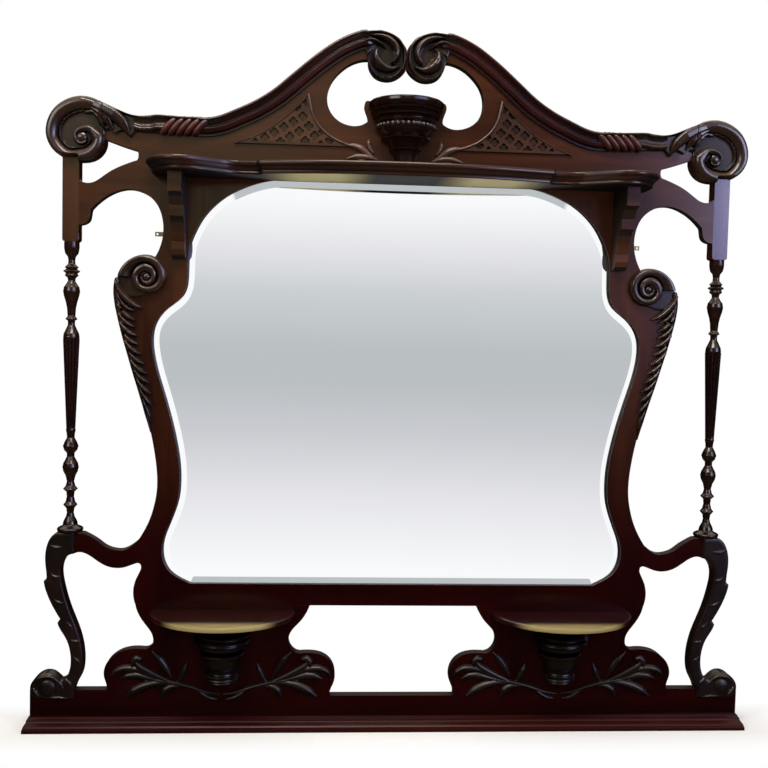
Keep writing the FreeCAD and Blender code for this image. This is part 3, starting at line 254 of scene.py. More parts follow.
# Small leaves and beads under the pediment: a paler copy of the carving's finish, painted light standing in
# for the shine they catch, and paler still along their tops from painted light from above.
pale_lit_finish = wood("mahogany_pale_lit", ("35221a", "604538"), roughness=0.3, specular=0.45, hollows=0.7,
                   top_light=0.3)
# Turned work: dark, with a bright polish from the lathe.
turned = wood("mahogany_turned", ("0c0403", "190804"), ("0f0604", "20100a"), (1, 1, 0.2), roughness=0.17,
              specular=0.36, hollows=0.6)
# Shelf tops: going over to a paler, yellower brown towards the front.
pale_fronted = wood("mahogany_pale_front", ("140302", "240705"), grain=LEVEL, roughness=0.3, specular=0.2,
             front=("84754a", -0.076, -0.106))
# Corbels: in the shadow of their shelves, nearly black.
shaded = wood("mahogany_shaded", ("060302", "100604"), roughness=0.25, specular=0.25, hollows=0.8)
# Rope: redder than the leaf beside it, where polish has been rubbed away.
rope_finish = wood("mahogany_rope", ("2a120d", "4a2620"), roughness=0.32, specular=0.4, hollows=0.85)
# Sawn pine, left bare behind the glass.
softwood = wood("pine_back", ("7a5a38", "a9835a"), grain=(1, 1, 0.08), roughness=0.6)


def silvered_plate():
    """Silvered plate glass: it gives back the room almost unchanged, a little cool.

    The bevel is a prism before the silver: at the top it turns the view down, at the foot up.
    """
    made, tree = new_material("silvered_plate")
    way = add(tree, "ShaderNodeSeparateXYZ", {0: add(tree, "ShaderNodeNewGeometry").outputs["Normal"]})
    dipped = add(tree, "ShaderNodeMath", {0: way.outputs["Z"], 1: -1.0}, operation="MULTIPLY")
    bent = add(tree, "ShaderNodeCombineXYZ", {"X": way.outputs["X"], "Y": way.outputs["Y"], "Z": dipped})
    shader = add(tree, "ShaderNodeBsdfPrincipled", {
        "Base Color": linear("fdfefe"), "Roughness": 0.0, "Metallic": 1.0, "Normal": bent})
    add(tree, "ShaderNodeOutputMaterial", {"Surface": shader})
    return made


def plain(name, code, roughness, metallic=0.0):
    """A material of one even colour."""
    made, tree = new_material(name)
    shader = add(tree, "ShaderNodeBsdfPrincipled", {
        "Base Color": linear(code), "Roughness": roughness, "Metallic": metallic})
    add(tree, "ShaderNodeOutputMaterial", {"Surface": shader})
    return made


glass = silvered_plate()
# Bare beech pegs, bright slotted steel screws, and brass plates gone dull.
beech = plain("beech_pegs", "b08d5f", 0.5)
steel = plain("screw_steel", "8a8a88", 0.35, 1.0)
brass = plain("plate_brass", "8d7a55", 0.42, 1.0)

# Meshes

nodes = frame["nodes"]
boxes = {name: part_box(name) for name in nodes}


def placed(name, data):
    """A new object of the scene that holds the data."""
    made = bpy.data.objects.new(name, data)
    bpy.context.scene.collection.objects.link(made)
    return made


def keep(name, mesh, material, slot, *stands_for):
    """A finished mesh becomes a piece of the mirror, standing for the named CAD pieces."""
    piece = placed(name, mesh)
    mesh.materials.clear()
    mesh.materials.append(material)
    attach(piece, "root")
    if stands_for:
        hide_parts(*stands_for)


def flipped(mesh, name):
    """The same mesh on the other side of the middle, its faces still outward."""
    other = mesh.copy()
    other.name = name
    other.transform(Matrix.Scale(-1, 4, (1, 0, 0)))
    other.flip_normals()
    return other


def pair(name, mesh, material, slot, *stands_for):
    """A piece for the right-hand side and its twin on the left."""
    for side, made in (("_right", mesh), ("_left", flipped(mesh, name + "_left"))):
        keep(name + side, made, material, slot, *[node + side for node in stands_for])


def smooth(mesh, degrees):
    """Smooth shading over edges that turn less than the angle."""
    for face in mesh.polygons:
        face.use_smooth = True
    mesh.set_sharp_from_angle(angle=math.radians(degrees))


def joined(node):
    """The CAD piece's mesh with its doubled corners merged."""
    work = bmesh.new()
    work.from_mesh(nodes[node].data)
    bmesh.ops.remove_doubles(work, verts=work.verts, dist=2e-6)
    return work


def outward(mesh):
    """The mesh with every face turned outward."""
    work = bmesh.new()
    work.from_mesh(mesh)
    bmesh.ops.remove_doubles(work, verts=work.verts, dist=1e-7)
    bmesh.ops.recalc_face_normals(work, faces=work.faces[:])
    work.to_mesh(mesh)
    work.free()
    return mesh


def finished(holder, name):
    """The holder's mesh as its modifiers make it. The holder itself goes."""
    graph = bpy.context.evaluated_depsgraph_get()
    made = bpy.data.meshes.new_from_object(holder.evaluated_get(graph))
    bpy.data.objects.remove(holder)
    made.name = name
    return made


solids = {}


def solid(node):
    """The CAD piece as a tree for casting rays at, made once."""
    if node not in solids:
        work = bmesh.new()
        work.from_mesh(nodes[node].data)
        solids[node] = BVHTree.FromBMesh(work)
        work.free()
    return solids[node]


# A way to look from a spot that grazes no edge.
LOOK = Vector((0.0137, 0.9, 0.021)).normalized()


def inside(node, point):
    """Whether a point lies inside a CAD piece, from how a ray leaves it."""
    low, high = boxes[node]
    if any(point[k] < low[k] or point[k] > high[k] for k in range(3)):
        return False
    hit = solid(node).ray_cast(point, LOOK)
    return hit[0] is not None and hit[1].y > 0


# Boards, with softened edges

BOARDS = ("stile_left", "stile_right", "spandrel", "top_rail", "bottom_rail", "arch_arm", "post_block",
          "bracket_arm", "scroll_leg", "lower_panel", "plinth_rail", "base_board", "pediment_board")
LEVEL_BOARDS = ("top_rail", "bottom_rail", "plinth_rail", "pediment_board", "arch_arm", "bracket_arm")
boards = [node for node in nodes if node.startswith(BOARDS)]
# Edges whose faces turn by less than this, in degrees, stay as they are.
BLUNT = 28
# How far beside an edge, in metres, the next board is looked for.
BESIDE = 0.0006


def flush_with_next(node, edge):
    """Whether a board's edge lies flush with the face of another board."""
    middle = (edge.verts[0].co + edge.verts[1].co) / 2
    one, two = [face.normal * BESIDE for face in edge.link_faces]
    spots = (middle + one - two, middle + two - one)
    return any(inside(other, spot) for spot in spots for other in boards if other != node)


def soften(node, material, width=0.9, keep_flush=True):
    """The CAD piece with its edges eased, but not where it lies flush with the next board."""
    work = joined(node)
    bmesh.ops.dissolve_limit(work, angle_limit=math.radians(0.4), verts=work.verts, edges=work.edges)
    weight = work.edges.layers.float.new("bevel_weight_edge")
    for edge in work.edges:
        if len(edge.link_faces) == 2 and edge.calc_face_angle(0) >= math.radians(BLUNT):
            edge[weight] = 0 if keep_flush and flush_with_next(node, edge) else 1
    mesh = bpy.data.meshes.new(node)
    work.to_mesh(mesh)
    work.free()
    holder = placed("holder", mesh)
    bevel = holder.modifiers.new("ease", "BEVEL")
    bevel.width = width * MM
    bevel.segments = 2
    bevel.limit_method = "WEIGHT"
    done = finished(holder, node + "_eased")
    smooth(done, 12)
    keep(node + "_eased", done, material, "mahogany", node)


def board_finish(node):
    if node == "base_board":
        return moulded
    if node.startswith("post_block"):
        return polished
    return level if node.startswith(LEVEL_BOARDS) else upright


for node in boards:
    if not node.startswith("scroll_leg"):
        soften(node, board_finish(node))

slots = {"mahogany": upright, "carved_mahogany": carved, "turned_mahogany": turned, "silvered_glass": glass,
         "softwood": softwood, "beech": beech, "screw_steel": steel, "plate_brass": brass}
record_slots = {row["node"]: row["material_slot"] for row in frame["record"]["subparts"]}
for name, piece in nodes.items():
    piece.data.materials.clear()
    piece.data.materials.append(slots[record_slots[name]])

# Lines and relief


def through(points, steps=8):
    """A smooth line through the points, as an array of (x, z) in mm."""
    p = np.array(points, float)
    p = np.vstack([2 * p[0] - p[1], p, 2 * p[-1] - p[-2]])
    made = []
    for a, b, c, d in zip(p, p[1:], p[2:], p[3:]):
        for n in range(steps):
            t = n / steps
            made.append(0.5 * (2 * b + (c - a) * t + (2 * a - 5 * b + 4 * c - d) * t * t
                               + (3 * b - a - 3 * c + d) * t ** 3))
    return np.array(made + [p[-2]])


def along(path, x, z):
    """For each spot its distance from the path, left of it positive, and how far along it lies, 0 to 1."""
    best = np.full(x.shape, 1e9)
    side = np.zeros(x.shape)
    way = np.zeros(x.shape)
    steps = np.diff(path, axis=0)
    lengths = np.hypot(steps[:, 0], steps[:, 1])
    starts = np.concatenate([[0], np.cumsum(lengths)])
    for (ax, az), (dx, dz), length, start in zip(path, steps, lengths, starts):
        if length == 0:
            continue
        px, pz = x - ax, z - az
        t = np.clip((px * dx + pz * dz) / length ** 2, 0, 1)
        gap = np.hypot(px - t * dx, pz - t * dz)
        nearer = gap < best
        best = np.where(nearer, gap, best)
        side = np.where(nearer, np.where(dx * pz - dz * px > 0, gap, -gap), side)
        way = np.where(nearer, (start + t * length) / starts[-1], way)
    return side, way


# How a strand stands out across its width, from -1 on its right edge to 1 on its left.
SECTIONS = {
    "round": lambda u: np.sqrt(np.clip(1 - u * u, 0, 1)),
    "soft": lambda u: np.clip(1 - u * u, 0, 1),
    "broad": lambda u: np.clip(1 - u ** 4, 0, 1) ** 0.6,
    "lip": lambda u: np.maximum(np.sqrt(np.clip(1 - ((u - 0.12) / 0.88) ** 2, 0, 1)),
                                0.62 * np.sqrt(np.clip(1 - ((u + 0.88) / 0.12) ** 2, 0, 1))),
}


def strand(points, widths, rises, section="round", floor=0.0):
    """A carved strand along a line: how far it stands out at each spot, or -99 beside it."""
    path = through(points)
    form = SECTIONS[section]
    walked = np.concatenate([[0], np.cumsum(np.hypot(*np.diff(path, axis=0).T))])
    marks = walked[::8] / walked[-1]

    def spread(values, way):
        """The values along the strand: at its points where each has one, else evenly."""
        places = marks if len(values) == len(marks) else np.linspace(0, 1, len(values))
        return np.interp(way, places, values)

    def height(x, z):
        side, way = along(path, x, z)
        u = side / (spread(widths, way) / 2)
        return np.where(np.abs(u) < 1, floor + (spread(rises, way) - floor) * form(u), -99.0)
    return height


def highest(x, z, strands, ground):
    """How far the highest of the strands stands out, over a ground that is a number or an array."""
    made = np.full(x.shape, float(ground)) if np.isscalar(ground) else ground.copy()
    for height in strands:
        made = np.maximum(made, height(x, z))
    return made


def outline_of(node, plane):
    """The longest loop of a CAD piece's flat face at y = plane (mm), as (x, z) in mm."""
    work = joined(node)
    flat = {f for f in work.faces if all(abs(v.co.y / MM - plane) < 0.02 for v in f.verts)}
    rim = {}
    for edge in work.edges:
        if sum(f in flat for f in edge.link_faces) == 1:
            for one, two in (edge.verts, reversed(edge.verts)):
                rim.setdefault(one.index, []).append(two.index)
    spots = {v.index: (v.co.x / MM, v.co.z / MM) for v in work.verts}
    work.free()
    loops = []
    left = set(rim)
    while left:
        first = left.pop()
        loop = [first]
        while True:
            steps = [n for n in rim[loop[-1]] if n in left]
            if not steps:
                break
            loop.append(steps[0])
            left.discard(steps[0])
        loops.append(loop)
    best = max(loops, key=len)
    return np.array([spots[n] for n in best])


def even(loop, step):
    """The closed outline with points added so that none lie further apart than the step."""
    made = []
    for a, b in zip(loop, np.roll(loop, -1, axis=0)):
        count = max(1, int(math.ceil(np.hypot(*(b - a)) / step)))
        made += [a + (b - a) * n / count for n in range(count)]
    made = np.array(made)
    apart = np.hypot(*(made - np.roll(made, 1, axis=0)).T) > step * 0.2
    return made[apart]


def within(loop, x, z):
    """Which spots lie inside the closed outline."""
    inside_now = np.zeros(x.shape, bool)
    for (ax, az), (bx, bz) in zip(loop, np.roll(loop, -1, axis=0)):
        if az != bz:
            inside_now ^= ((az > z) != (bz > z)) & (x < (bx - ax) * (z - az) / (bz - az) + ax)
    return inside_now


def edge_gap(loop, x, z):
    """How far each spot lies from the outline."""
    closed = np.vstack([loop, loop[:1]])
    return np.abs(along(closed, x, z)[0])


def free_gap(rim, x, z, joint):
    """How far each spot lies from the outline, leaving out its joints."""
    if joint is None:
        return edge_gap(rim, x, z)
    gap = np.full(x.shape, 1e3)
    run = []
    free = ~joint(rim[:, 0], rim[:, 1])
    start = int(np.argmin(free)) if not free.all() else 0
    for n in range(len(rim) + 1):
        k = (start + n) % len(rim)
        if free[k] and n < len(rim):
            run.append(rim[k])
        else:
            if len(run) > 1:
                gap = np.minimum(gap, np.abs(along(np.array(run), x, z)[0]))
            run = []
    return gap


def spots_within(rim, step):
    """Spots inside the outline in rows a step apart, every other row moved by half a step."""
    low, high = rim.min(0), rim.max(0)
    rows = []
    for n, z in enumerate(np.arange(low[1] + step / 2, high[1], step * 0.866)):
        xs = np.arange(low[0] + (step / 2 if n % 2 else 0), high[0], step)
        rows.append(np.column_stack([xs, np.full(xs.shape, z)]))
    spots = np.vstack(rows)
    spots = spots[within(rim, *spots.T)]
    return spots[edge_gap(rim, *spots.T) > step * 0.55]


def slab(name, front, rear, faces):
    """A closed solid: the faces in front, the same ones behind, and a wall along their rim."""
    work = bmesh.new()
    front = [work.verts.new(spot) for spot in front]
    rear = [work.verts.new(spot) for spot in rear]
    for face in faces:
        work.faces.new([front[n] for n in face])
        work.faces.new([rear[n] for n in reversed(face)])
    work.verts.index_update()
    for edge in [e for e in work.edges if e.is_boundary and e.verts[0].index < len(front)]:
        one, two = edge.verts
        work.faces.new((one, two, rear[two.index], rear[one.index]))
    bmesh.ops.delete(work, geom=[v for v in work.verts if not v.link_faces], context="VERTS")
    bmesh.ops.recalc_face_normals(work, faces=work.faces[:])
    mesh = bpy.data.meshes.new(name)
    work.to_mesh(mesh)
    work.free()
    smooth(mesh, 50)
    return mesh


def relief(name, loop, height, back, step=1.3, fall=2.0, foot=1.0, joint=None, trim=False):
    """A solid carved from the front: height(x, z) gives how far it stands out of y = 0, in mm.

    It rounds off towards its outline over the fall, down to the foot, and is flat at the back.
    joint(x, z) marks the stretches of the outline where the carving runs on into the next piece.
    With trim only what the strands cover is kept.
    """
    rim = even(loop, step)
    spots = np.vstack([rim, spots_within(rim, step)])
    sides = [(n, (n + 1) % len(rim)) for n in range(len(rim))]
    drawn, _, faces, _, _, _ = delaunay_2d_cdt([Vector(p) for p in spots], sides, [], 1, 1e-4)
    x, z = np.array([(v.x, v.y) for v in drawn]).T
    stand = height(x, z)
    if trim:
        faces = [f for f in faces if all(stand[n] > 0 for n in f)]
    else:
        share = np.clip(free_gap(rim, x, z, joint) / fall, 0, 1)
        stand = foot + (np.maximum(stand, foot) - foot) * (0.25 + 0.75 * np.sqrt(1 - (1 - share) ** 2))
    behind = back(x, z) if callable(back) else np.full(x.shape, float(back))
    front = [mm(*spot) for spot in zip(x, -stand, z)]
    rear = [mm(*spot) for spot in zip(x, behind, z)]
    return slab(name, front, rear, faces)


def carve(name, loop, height, back, material=carved, slot="carved_mahogany", stands_for=None, **more):
    """A carving for the right-hand side and its twin on the left."""
    mesh = relief(name + "_right", np.array(loop), height, back, **more)
    pair(name + "_carved", mesh, material, slot, stands_for or name)


# Corner volutes

VOLUTE_EYE = (632.0, 1180.0)
EYE_RADIUS = 9.5
# The leaf covers what lies inwards of this.
LEAF_EDGE = 640


def round_eye(*turns):
    """Points round the eye, (x, z), from (quarter turns from the top outwards and down, distance)."""
    return [(VOLUTE_EYE[0] + far * math.sin(turn * math.pi / 2),
             VOLUTE_EYE[1] + far * math.cos(turn * math.pi / 2))
            for turn, far in turns]


# The roll goes round outside and under the eye and grows thinner; its end curls round the eye.
ROLL = strand(
    round_eye((-0.5, 72), (0, 66), (0.5, 62.5), (1, 57), (1.5, 46), (2, 34), (2.5, 31), (3, 30), (3.5, 23)),
    (24, 34, 35, 34, 33, 34, 31, 27, 16), (20, 22, 22, 22, 22, 22, 22, 21, 20), "lip", 7)
CURL = strand(
    round_eye((3, 30), (3.5, 23), (4, 16.5), (4.5, 13.6), (5, 12.6), (5.5, 12), (6, 11.6), (6.6, 11)),
    (27, 16, 13.5, 10, 8.5, 7, 6, 3), (21, 20, 20, 20, 20, 19, 18, 15), "round", 10)
# The strands of the leaf that leave the volute's top and end in points on the crest.
LEAF = [
    strand([(640, 1256), (624, 1255), (606, 1251), (585, 1243), (565, 1236), (545, 1229), (520, 1223)],
           (3, 8, 10, 10, 9, 8, 6), (18, 21, 21, 21, 20, 19, 18)),
    strand([(640, 1243), (620, 1245), (597, 1239), (571, 1226), (552, 1209), (540, 1188)],
           (4, 14, 22, 26, 22, 4), (16, 20, 22.5, 23.5, 21, 13), "broad", 8),
    strand([(634, 1236), (616, 1238), (599, 1230), (584, 1216), (573, 1199)],
           (4, 10, 17, 19, 4), (15, 19, 21, 19.5, 12), "broad", 8),
    strand([(628, 1228), (612, 1230), (601, 1222), (594, 1210), (589, 1199)],
           (3, 8, 12, 13, 3), (14, 18, 19, 17.5, 11), "broad", 8),
]


def volute_height(x, z):
    """The roll and its curl over a low ground, with a flat eye and the leaf leaving at the top."""
    eye = np.hypot(x - VOLUTE_EYE[0], z - VOLUTE_EYE[1])
    made = highest(x, z, [ROLL, CURL], 6.5 + 0.045 * (x - VOLUTE_EYE[0]))
    button = 15 + 2.5 * np.clip(1 - (eye / EYE_RADIUS) ** 2, 0, 1)
    made = np.where(eye < EYE_RADIUS, np.maximum(made, button), made)
    return np.where(x < LEAF_EDGE, highest(x, z, LEAF, made), made)


carve("corner_volute", outline_of("corner_volute_right", 22), volute_height, 22, step=1.2, fall=4,
      joint=lambda x, z: (x < 599) & (z > 1200))

# The crest: the leaf, the plain length and the rope

# Outwards of this the ground under the leaf is plain.
LEAF_GROUND_EDGE = 533
# The crest's top edge, and how far its moulding stands out at each distance below it.
CREST_EDGE = ((410, 1227.4), (440, 1227.4), (476, 1229), (490, 1229), (500, 1226), (520, 1225.4),
              (545, 1231), (597, 1251))
MOULDING = ((-1, 17), (1, 19.3), (3, 20), (5, 19), (6.5, 15), (9, 12.2), (13, 10.6), (17, 10.8),
            (20, 12.4), (21.5, 14.6), (24, 15.6), (27, 14.8), (28.6, 12), (29, 6.5), (34, 6))


def crest_height(x, z):
    """The leaf over the moulding, which gives way to a plain ground where the leaf is broad."""
    edge = np.interp(x, *np.array(CREST_EDGE).T)
    plain_length = np.interp(edge - z, *np.array(MOULDING).T)
    return highest(x, z, LEAF, np.where(x > LEAF_GROUND_EDGE, 8, plain_length))


carve("crest", outline_of("crest_carving_right", 0), crest_height, 0, stands_for="crest_carving", step=1.1,
      fall=1.5, joint=lambda x, z: (x > 595) | (x < 411))

# Geometry node trees, for what repeats or follows a path


def new_tree(name, sizes):
    """A geometry tree with a named input for each size, its start node and its input sockets by name."""
    tree = bpy.data.node_groups.new(name, "GeometryNodeTree")
    tree.interface.new_socket("Geometry", in_out="INPUT", socket_type="NodeSocketGeometry")
    for label, kind in sizes:
        tree.interface.new_socket(label, in_out="INPUT", socket_type="NodeSocket" + kind)
    tree.interface.new_socket("Geometry", in_out="OUTPUT", socket_type="NodeSocketGeometry")
    start = tree.nodes.new("NodeGroupInput")
    return tree, {socket.name: socket for socket in start.outputs if socket.name}


def end_tree(tree, geometry, material):
    """The tree's last nodes: instances made real, smooth faces and the finish."""
    real = add(tree, "GeometryNodeRealizeInstances", {"Geometry": geometry})
    even_shade = add(tree, "GeometryNodeSetShadeSmooth", {"Geometry": real})
    painted = add(tree, "GeometryNodeSetMaterial", {"Geometry": even_shade, "Material": material})
    add(tree, "NodeGroupOutput", {0: painted})


def grown(name, tree, sizes, mesh=None):
    """What the tree makes of the mesh with these sizes, as a plain mesh."""
    holder = placed(name, mesh or bpy.data.meshes.new(name + "_start"))
    modifier = holder.modifiers.new("grow", "NODES")
    modifier.node_group = tree
    for item in tree.interface.items_tree:
        if item.item_type == "SOCKET" and item.in_out == "INPUT" and item.name in sizes:
            modifier[item.identifier] = sizes[item.name]
    return finished(holder, name)


def rope_tree():
    """Slanting strands in a row: one long rounded strand, repeated along the crest."""
    tree, size = new_tree("rope_strands", (
        ("Strands", "Int"), ("Start", "Vector"), ("Step", "Vector"), ("Strand size", "Vector"),
        ("Lean", "Float")))
    row = add(tree, "GeometryNodeMeshLine", {
        "Count": size["Strands"], "Start Location": size["Start"], "Offset": size["Step"]})
    ball = add(tree, "GeometryNodeMeshUVSphere", {"Segments": 24, "Rings": 28, "Radius": 1.0})
    turn = add(tree, "ShaderNodeCombineXYZ", {"Y": size["Lean"]})
    turn = add(tree, "FunctionNodeEulerToRotation", {0: turn})
    strands = add(tree, "GeometryNodeInstanceOnPoints", {
        "Points": row, "Instance": ball, "Rotation": turn, "Scale": size["Strand size"]})
    end_tree(tree, strands, rope_finish)
    return tree


rope = grown("rope", rope_tree(), {
    "Strands": 5, "Start": mm(403, -9, 1210), "Step": mm(15.6, 0, 0), "Strand size": mm(7.2, 12.4, 24.5),
    "Lean": -0.74})
pair("rope", rope, rope_finish, "carved_mahogany")

# Mouldings that follow a path


def sweep_tree():
    """A moulding: the closed section follows the path, both given as lines of the start mesh."""
    tree, size = new_tree("moulding_along_path", (("Section scale", "Float"),))
    is_path = add(tree, "GeometryNodeInputNamedAttribute", {"Name": "on_path"}, data_type="BOOLEAN")
    parts = add(tree, "GeometryNodeSeparateGeometry", {"Geometry": size["Geometry"], "Selection": is_path},
                domain="POINT")
    path = add(tree, "GeometryNodeMeshToCurve", {"Mesh": parts.outputs["Selection"]})
    path = add(tree, "GeometryNodeSetCurveNormal", {"Curve": path}, mode="Z_UP")
    section = add(tree, "GeometryNodeMeshToCurve", {"Mesh": parts.outputs["Inverted"]})
    band = add(tree, "GeometryNodeCurveToMesh", {
        "Curve": path, "Profile Curve": section, "Scale": size["Section scale"], "Fill Caps": True})
    end_tree(tree, band, neck_finish)
    return tree


def moulding(name, path, section):
    """A moulding along a path of (x, z) whose section gives (distance below the path, relief), in mm."""
    spots = [mm(x, 0, z) for x, z in path] + [mm(relief_out, below, 0) for below, relief_out in section]
    count = len(path)
    links = [(n, n + 1) for n in range(count - 1)]
    links += [(count + n, count + (n + 1) % len(section)) for n in range(len(section))]
    mesh = bpy.data.meshes.new(name + "_lines")
    mesh.from_pydata(spots, links, [])
    marks = mesh.attributes.new("on_path", "BOOLEAN", "POINT")
    marks.data.foreach_set("value", [n < count for n in range(len(spots))])
    made = outward(grown(name, sweep_tree(), {"Section scale": 1.0}, mesh))
    smooth(made, 38)
    return made


NECK_EDGE = ((80, 1408.2), (92, 1407), (120, 1396), (150, 1379), (188, 1350.3), (226, 1317.6),
             (262, 1286.5), (299, 1262.4), (338, 1243.5), (366, 1231.5), (390, 1226.1), (410, 1226.5))
# A rounded lip, a deep hollow and a flat band under it.
NECK = ((-1, 14), (0, 17), (1.5, 19), (3.5, 19.6), (5.5, 18.6), (7, 16), (9, 12.2), (12, 9.6), (15, 9),
        (17.5, 10.6), (18.6, 13), (20, 13.8), (26, 12.8), (28.2, 11.4), (28.8, 6), (34, 5.6))
neck_section = [(d, r) for d, r in through(NECK, 4)] + [(34, 0), (-1, 0)]
neck_path = through(NECK_EDGE, 6)
pair("neck", moulding("neck", neck_path, neck_section), neck_finish, "mahogany", "neck_moulding")

# Centre scrolls: two lobes that turn into each other inside a round rim

HORN = [
    strand([(112, 1396), (98, 1401), (76, 1406.5), (52, 1407), (28, 1400), (11, 1385), (5, 1363), (8, 1341),
            (24, 1323), (46, 1318), (66, 1325), (78, 1342), (80, 1362), (70, 1374)],
           (9, 9, 9, 8, 7, 6, 6, 6, 6, 6, 6, 6, 5, 3),
           (19, 19, 18, 18, 17, 16, 15, 15, 15, 15, 14, 13, 12, 8)),
    strand([(74, 1400), (56, 1399.5), (40, 1395), (28, 1386), (20.5, 1373), (21, 1360), (28, 1350)],
           (5, 11, 15, 17, 17, 15, 10), (16, 20, 22, 23, 23.5, 23, 19)),
    strand([(54, 1377), (61, 1370), (62, 1358), (56, 1347), (45, 1339), (31, 1336), (16, 1342)],
           (3, 12, 22, 25, 20, 12, 3), (13, 20, 22.5, 23, 22, 19, 13)),
    strand([(94, 1385), (84, 1389), (74, 1391), (64, 1389.5), (53, 1384), (44, 1377)], (3, 7, 9, 9, 7, 3),
           (9, 15, 19, 20, 17, 8)),
]


def horn_height(x, z):
    """Two lobes over a low ground, with the neck's moulding running in from the side."""
    made = highest(x, z, HORN, 3.0)
    neck = np.interp(-along(neck_path, x, z)[0], *np.array(NECK).T)
    share = np.clip((x - 52) / 30, 0, 1)
    share = share * share * (3 - 2 * share)
    return np.maximum(made, 3 + (neck - 3) * share)


def scroll_loop():
    """The scroll's outline, carried on into the start of the neck instead of being rounded off."""
    loop = outline_of("centre_scroll_right", 0)
    corner = (loop[:, 0] > 60.5) & (loop[:, 1] > 1379)
    first = int(np.argmax(~corner & np.roll(corner, -1)))
    loop = np.roll(loop, -first - 1, axis=0)
    corner = np.roll(corner, -first - 1)
    added = [(61, 1409.9), (68, 1409.5), (80, 1408.2), (94, 1406.6), (94, 1374), (86.6, 1378)]
    return np.vstack([added if loop[0][1] > 1395 else added[::-1], loop[~corner]])


carve("centre_scroll", scroll_loop(), horn_height, 0, step=0.9, fall=3, joint=lambda x, z: x > 93)

# Stile scroll and leaf

STILE_EYE = (506.0, 913.0)
# From the outward side over the top, inwards and down, at each quarter turn.
STILE_RADII = (62, 44, 39, 31, 30, 27.5, 20, 17, 12.5, 9, 7)
# How far the outer turn and the inner ones stand out across their band.
OUTER_TURN = ((0, 9), (0.08, 13), (0.2, 15.6), (0.4, 17), (0.62, 16.8), (0.8, 14.8), (0.92, 10), (1, 5))
INNER_TURN = ((0, 5), (0.06, 10.5), (0.16, 13.6), (0.4, 15.2), (0.7, 14.8), (0.9, 12.6), (1, 8))


def stile_scroll_height(x, z):
    """A band that winds inwards, with a round button for its eye, over a low ground."""
    angle = np.arctan2(STILE_EYE[0] - x, z - STILE_EYE[1]) / (math.pi / 2) + 1
    angle = np.where(angle < 0, angle + 4, angle)
    radius = np.hypot(x - STILE_EYE[0], z - STILE_EYE[1])
    quarters = np.arange(len(STILE_RADII))
    made = np.full(x.shape, 4.0)
    for turn in range(len(STILE_RADII) // 4 + 1):
        outer = np.interp(angle + 4 * turn, quarters, STILE_RADII)
        inner = np.interp(angle + 4 * turn + 4, quarters, STILE_RADII)
        share = (outer - radius) / np.maximum(outer - inner, 1e-6)
        rise = np.interp(share, *np.array(INNER_TURN if turn else OUTER_TURN).T)
        made = np.where((radius < outer) & (radius >= inner) & (outer > inner), rise, made)
    button = 12 + 2.5 * np.clip(1 - (radius / STILE_RADII[-1]) ** 2, 0, 1)
    return np.where(radius < STILE_RADII[-1], button, made)


# The lobes of the leaf, from the highest down, each from the stem outwards.
LOBES = (
    ((561, 856), (551, 843), (541, 834), (530, 828)), ((559, 838), (549, 826), (540, 819), (530, 814)),
    ((556, 820), (546, 809), (536, 801), (524, 797)), ((551, 802), (542, 791), (533, 784), (522, 780)),
    ((546, 784), (537, 773), (527, 765), (516, 760)), ((540, 765), (531, 754), (521, 746), (510, 741)),
    ((534, 746), (525, 735), (515, 727), (504, 721)),
)
BROAD_LOBE, SLIM_LOBE = ((9, 12, 12, 3), (12, 14, 13.5, 7)), ((8, 11, 11, 3), (11, 13, 12.5, 7))
STILE_LEAF = [strand(*row) for row in (
    ([(563, 905), (564, 884), (561, 858), (555, 828), (547, 795), (537, 759), (526, 720), (514, 680),
      (504, 642), (496, 605)],
     (15, 17, 17, 16, 15, 14, 13, 12, 10, 3), (9, 9, 9, 9, 8.5, 8.5, 8, 8, 7, 5), "soft"),
    ([(566, 900), (558, 884), (545, 869), (530, 858), (515, 852)], (9, 13, 15, 12, 3),
     (13, 14.5, 14.5, 13, 7)),
    ([(560, 872), (552, 859), (543, 851), (531, 846)], (7, 10, 10, 3), (11, 12.5, 12, 7)),
    ([(527, 726), (518, 715), (509, 708), (500, 703)], (8, 11, 10, 3), (11, 13, 12.5, 7)),
    ([(521, 706), (512, 695), (504, 687), (497, 682)], (8, 11, 10, 3), (11, 13.5, 13, 7)),
    ([(514, 684), (506, 673), (500, 665), (495, 659)], (7, 10, 8, 3), (10, 12, 11, 7)),
    ([(507, 660), (502, 648), (498, 636), (496, 624)], (6, 8, 7, 3), (9, 10, 9, 6)),
)]
STILE_LEAF += [strand(lobe, *(SLIM_LOBE if n % 2 else BROAD_LOBE)) for n, lobe in enumerate(LOBES)]
LEAF_EYES = ((552, 848), (548, 802), (538, 766))


def leaf_and_eyes(x, z):
    """The leaf's strands with the small dark eyes between its lobes."""
    made = highest(x, z, STILE_LEAF, -1)
    for eye_x, eye_z in LEAF_EYES:
        made = np.where(np.hypot((x - eye_x) / 1.5, z - eye_z) < 3, np.minimum(made, 4), made)
    return made


def oblong(low_x, low_z, high_x, high_z):
    """The outline of the ground that a trimmed carving is cut from."""
    return [(low_x, low_z), (high_x, low_z), (high_x, high_z), (low_x, high_z)]


carve("stile_scroll", outline_of("stile_scroll_right", 0), stile_scroll_height, 0, step=1.0, fall=3)
carve("stile_leaf", oblong(490, 596, 580, 912), leaf_and_eyes, 0, step=1.0, trim=True)

# Sprays

# Each lower spray has the same leaves on both sides of this middle.
SPRAY_MIDDLE = 348

